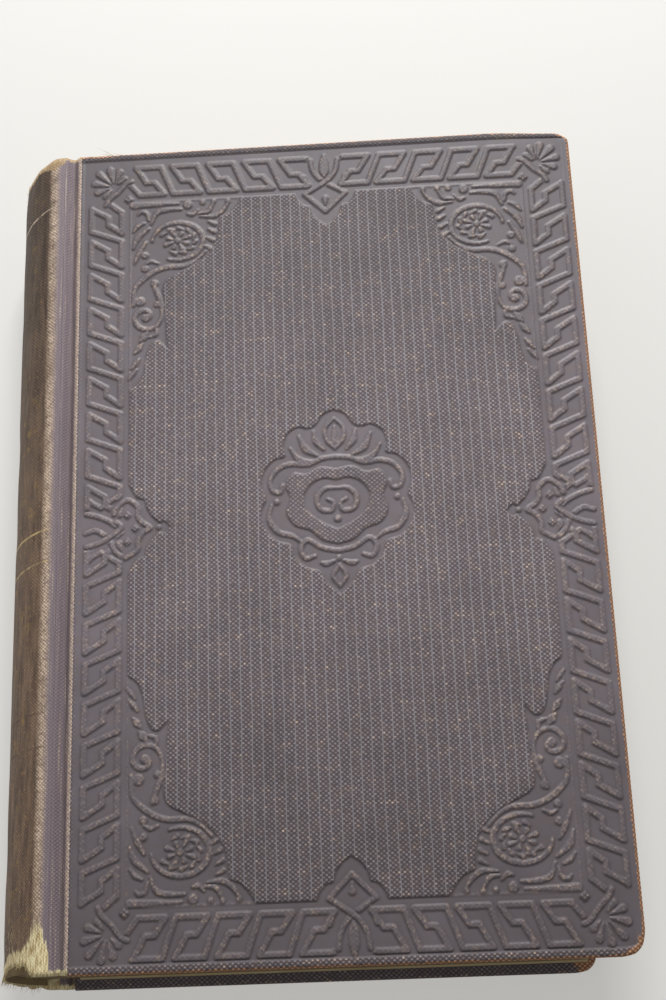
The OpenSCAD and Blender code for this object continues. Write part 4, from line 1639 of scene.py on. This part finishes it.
    def build(self) -> None:
        """Builds every layer of the back, from the cloth in."""
        h = BOOK.cover_h
        self.build_cloth()
        card = self.layer(0.42, 0.58, 1.4, h - 0.8, 90)
        self.lay("spine_card", card, self.card, "spine_inlay")
        paper = self.layer(1.6, 0.3, 3.0, h - 3.0, 60)
        self.lay("back_paper", paper, self.lining, "back_lining")
        scrim = self.layer(1.9, 0.28, 10.0, h - 10.0, 60)
        mull = self.lay("back_mull", scrim, self.scrim, "mull")
        self.lay("sunk_cords", self.cords(), self.cord, "sewing_cords")
        self.fringe()
        log.info("spine layers")

    def cords(self) -> bmesh.types.BMesh:
        """Makes the sewing cords, sunk into the back under the mull."""
        every = bmesh.new()
        for i in range(self.cord_count):
            y = self.cord_foot + self.cord_run * (i + 0.5) / self.cord_count
            bm = self.layer(2.2, 1.2, y - self.cord_half, y + self.cord_half, 3)
            mesh = bpy.data.meshes.new("one_cord")
            bm.to_mesh(mesh)
            bm.free()
            every.from_mesh(mesh)
            bpy.data.meshes.remove(mesh)
        return every

    def fringe(self) -> None:
        """Loose threads of the torn cloth, at the tail's arch and up the crest, and at the head cap."""
        rng = random.Random(SEED)
        section = self.section()
        tail, head = self.torn(section[:, 2], section[-1, 2])
        bm = bmesh.new()
        count = len(section)
        for _ in range(self.torn_threads):
            at_tail = rng.random() < 0.8
            i = rng.randrange(7, count - 8)
            x, z = section[i, :2]
            a = math.atan2(z - BOOK.book_t / 2, -(x - BOOK.spine_cx))
            y = (tail if at_tail else head)[i]
            out = -1 if at_tail else 1
            length = rng.uniform(1.0, 3.0) if at_tail else rng.uniform(0.5, 1.3)
            start = np.array([x, y - out * 0.8, z])
            heading = np.array([-math.cos(a) * 0.1, out * 1.0, rng.uniform(-0.6, 0.6)])
            self.one_thread(bm, start, heading, length, rng.uniform(0.10, 0.2), rng, BOOK.lean)
        for _ in range(self.crest_threads):
            i = rng.randrange(5, 26)
            x, z = section[i, :2]
            y = tail[i] + rng.uniform(0.5, 13)
            start = np.array([x - 0.12, y, z + 0.06])
            self.one_thread(bm, start, np.array([0.0, rng.choice((-1.0, 1.0)), rng.uniform(-0.4, 0.4)]),
                            rng.uniform(2.0, 6.0), 0.09, rng, BOOK.lean)
        piece = mesh_object("spine_frays", bm)
        piece.data.materials.append(self.thread)
        self.flex(piece)
        self.head_threads(rng)

    def head_threads(self, rng: random.Random) -> None:
        """Threads pulled from the front cover's head edge beside the joint."""
        bm = bmesh.new()
        top = BOOK.book_t - 0.15
        for x, y, reach, turn in ((9.6, 236.7, 6.6, 0.52), (8.8, 236.8, 3.4, 0.2), (6.0, 236.6, 4.6, -0.06),
                                  (12.5, 236.7, 4.0, 0.12), (4.0, 236.5, 3.0, 0.1)):
            heading = np.array([-math.cos(turn), math.sin(turn), 0.06])
            self.one_thread(bm, np.array([x, y, top]), heading, reach, 0.16, rng, np.array, 0.1)
        piece = mesh_object("head_threads", bm)
        piece.data.materials.append(self.thread)
        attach(piece, "front_cover")

    def one_thread(self, bm: bmesh.types.BMesh, start: Places, heading: Places, length: float, width: float,
                   rng: random.Random, place: Callable[[Places], Places], wander: float = 0.25) -> None:
        """Draws one thread, three-sided and tapering, with a wandering path.

        Args:
            bm: The mesh it is added to.
            start: Where it leaves the cloth.
            heading: Which way it starts off.
            length: How long it is.
            width: How thick it is at its root.
            rng: Where its wandering comes from.
            place: What is done to its places, such as leaning with the back.
            wander: How far each step may turn.
        """
        steps = 6
        points = [start]
        d = heading / np.linalg.norm(heading)
        for _ in range(steps):
            d = d + np.array([rng.uniform(-wander, wander) for _ in range(3)])
            d /= np.linalg.norm(d)
            points.append(points[-1] + d * length / steps)
        points = BOOK.in_frame(place(np.array(points)))
        ring = bmesh.ops.create_circle(bm, segments=3, radius=width / 2 * MM)["verts"]
        turn = Vector((0, 0, 1)).rotation_difference(Vector(points[1] - points[0])).to_matrix().to_4x4()
        bmesh.ops.transform(bm, matrix=Matrix.Translation(points[0]) @ turn, verts=ring)
        edges = list({e for v in ring for e in v.link_edges})
        bmesh.ops.contextual_create(bm, geom=edges)
        for k in range(1, steps + 1):
            made = bmesh.ops.extrude_edge_only(bm, edges=edges)["geom"]
            verts, edges = made_of(made, bmesh.types.BMVert), made_of(made, bmesh.types.BMEdge)
            bmesh.ops.translate(bm, vec=Vector(points[k] - points[k - 1]), verts=verts)
            middle = sum((v.co for v in verts), Vector()) / 3
            for v in verts:
                v.co = middle + (v.co - middle) * (1 - 0.1 * k)
        bmesh.ops.contextual_create(bm, geom=edges)


# ---------------------------------------------------------------- the room


@dataclass
class Room:
    """A plain pale floor, soft light from beyond the head, and the camera above the tail."""

    eye: tuple[float, float, float] = (23.94, -92.02, 392.30)
    forward: tuple[float, float, float] = (-0.037177, 0.275181, -0.960673)
    up: tuple[float, float, float] = (0.049114, 0.960679, 0.273282)
    lens: float = 46.8

    def floor(self) -> bpy.types.Object:
        """Makes the floor."""
        bm = bmesh.new()
        bmesh.ops.create_grid(bm, x_segments=1, y_segments=1, size=3.0)
        piece = mesh_object("floor", bm)
        piece.location.z = -0.0004
        material, node = new_material("pale_floor")
        noise = node("TexNoise", {"Scale": 30.0, "Detail": 3.0})
        shade = node("MapRange", {0: noise, 3: 0.97, 4: 1.0})
        colour = node("VectorMath", {0: "e9e7e3", 3: shade}, operation="SCALE")
        shader = node("BsdfPrincipled", {"Base Color": colour, "Roughness": 0.9})
        glow = node("Emission", {0: "efeeea", 1: 0.9})
        seen = node("LightPath", {}, "Is Camera Ray")
        half = node("Math", {0: seen, 1: 0.5}, operation="MULTIPLY")
        pale = node("MixShader", {0: half, 1: shader, 2: glow})
        node("OutputMaterial", {0: pale}, None)
        piece.data.materials.append(material)
        return piece

    def lamp(self, name: str, place: Sequence[float], size: float, power: float) -> None:
        """Hangs one square soft lamp that faces the book.

        Args:
            name: The lamp's name.
            place: Where it hangs, in metres.
            size: The length of its side.
            power: Its power, in watts.
        """
        data = bpy.data.lights.new(name, "AREA")
        data.shape, data.size, data.energy = "SQUARE", size, power
        lamp = bpy.data.objects.new(name, data)
        bpy.context.scene.collection.objects.link(lamp)
        lamp.location = place
        lamp.rotation_euler = (-Vector(place)).to_track_quat("-Z", "Y").to_euler()

    def camera(self) -> None:
        """Sets the camera."""
        data = bpy.data.cameras.new("camera")
        data.sensor_fit, data.sensor_height, data.sensor_width, data.lens = "VERTICAL", 36.0, 36.0, self.lens
        data.clip_start = 0.01
        camera = bpy.data.objects.new("camera", data)
        bpy.context.scene.collection.objects.link(camera)
        back = -Vector(self.forward).normalized()
        right = Vector(self.up).cross(back).normalized()
        up = back.cross(right)
        turn = Matrix((right, up, back)).transposed()
        camera.matrix_world = Matrix.Translation(Vector(self.eye) * MM) @ turn.to_4x4()
        bpy.context.scene.camera = camera

    def build(self) -> None:
        """Sets the stage."""
        self.floor()
        self.lamp("head_light", (0.06, 0.70, 0.48), 0.2, 7.9)
        self.lamp("fill_light", (-0.5, 0.1, 1.1), 1.2, 2.0)
        world = bpy.data.worlds.new("room")
        bpy.context.scene.world = world
        world.use_nodes = True
        seen = add(world.node_tree, "LightPath", {}, "Is Camera Ray")
        glow = add(world.node_tree, "MapRange", {0: seen, 3: 0.24, 4: 0.8})
        air = add(world.node_tree, "Background", {0: "f4f3f0", 1: glow})
        world.node_tree.links.new(air, world.node_tree.nodes["World Output"].inputs[0])
        bpy.context.scene.view_settings.view_transform = "Standard"
        self.camera()


def dress_solids(frame: dict, papers: dict[str, bpy.types.Material]) -> None:
    """Gives each solid that stays its finish: the gatherings, the endpapers and the turning leaves.

    Args:
        papers: Each finish, by a word that is in the names of its solids.
    """
    for name, solid in frame["nodes"].items():
        finish = next((papers[key] for key in papers if key in name), None)
        if finish is not None:
            solid.data.materials.clear()
            solid.data.materials.append(finish)


def main() -> None:
    """Loads the frame, builds and dresses every piece, and sets the stage."""
    logging.basicConfig(level=logging.INFO, format="%(name)s: %(message)s")
    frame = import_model()
    front_cloth = BookCloth("stamped_cloth_front", BOOK.origin).build()
    rear_origin = (BOOK.origin[0] - BOOK.cock_x, BOOK.origin[1] - BOOK.cock_y)
    rear_cloth = BookCloth("stamped_cloth_rear", rear_origin).build()
    spine_cloth = SpineCloth().build()
    # Millboard, rolled hard from rope and rag pulp: tan, with coarse dark flecks at its bruised corners.
    board = Fibre("millboard", "b99566", "7d5f38", 0.8).build()
    # Thin pulp card, cut to line the cloth's back: dull brown where a torn end lets it show.
    card = Fibre("inlay_card", "a08a66", "6b5638", 0.5).build()
    # Mull, an open starched cotton, glued over the sewing: pale and matt.
    scrim = Fibre("mull_scrim", "c9b995", "8f7d58", 0.4).build()
    # Hemp cord, twisted and glue-stained: yellow-brown, with a fine fleck.
    cord = Fibre("hemp_cord", "b59c70", "77603a", 0.3).build()
    # Bare cotton pulled out of the worn cloth: the palest thing on the case.
    thread = Fibre("frayed_thread", "d9c9a0", "9c8456", 0.3).build()
    # Wove rag paper, printed, folded and sewn: cream on a page and brown where the block is trimmed.
    # Its edges are darkened further with painted shade.
    text_paper = Paper("text_paper", "d6c7a2", "8a7452").build()
    # Heavier endpaper, pasted down inside the boards: a little darker and yellower than the text.
    endpaper = Paper("endpaper", "cdbb92", "a98f5f").build()
    Cover(Side.FRONT, 0.33, front_cloth, board).build()
    Cover(Side.REAR, 0.9, rear_cloth, board).build()
    for side in Side:
        Joint(side, spine_cloth).build()
    Spine(spine_cloth, card, text_paper, scrim, cord, thread).build()
    dress_solids(frame, {"gathering": text_paper, "turning_leaf": text_paper, "pastedown": endpaper,
                         "flyleaf": endpaper})
    Room().build()


if __name__ == "__main__":
    main()
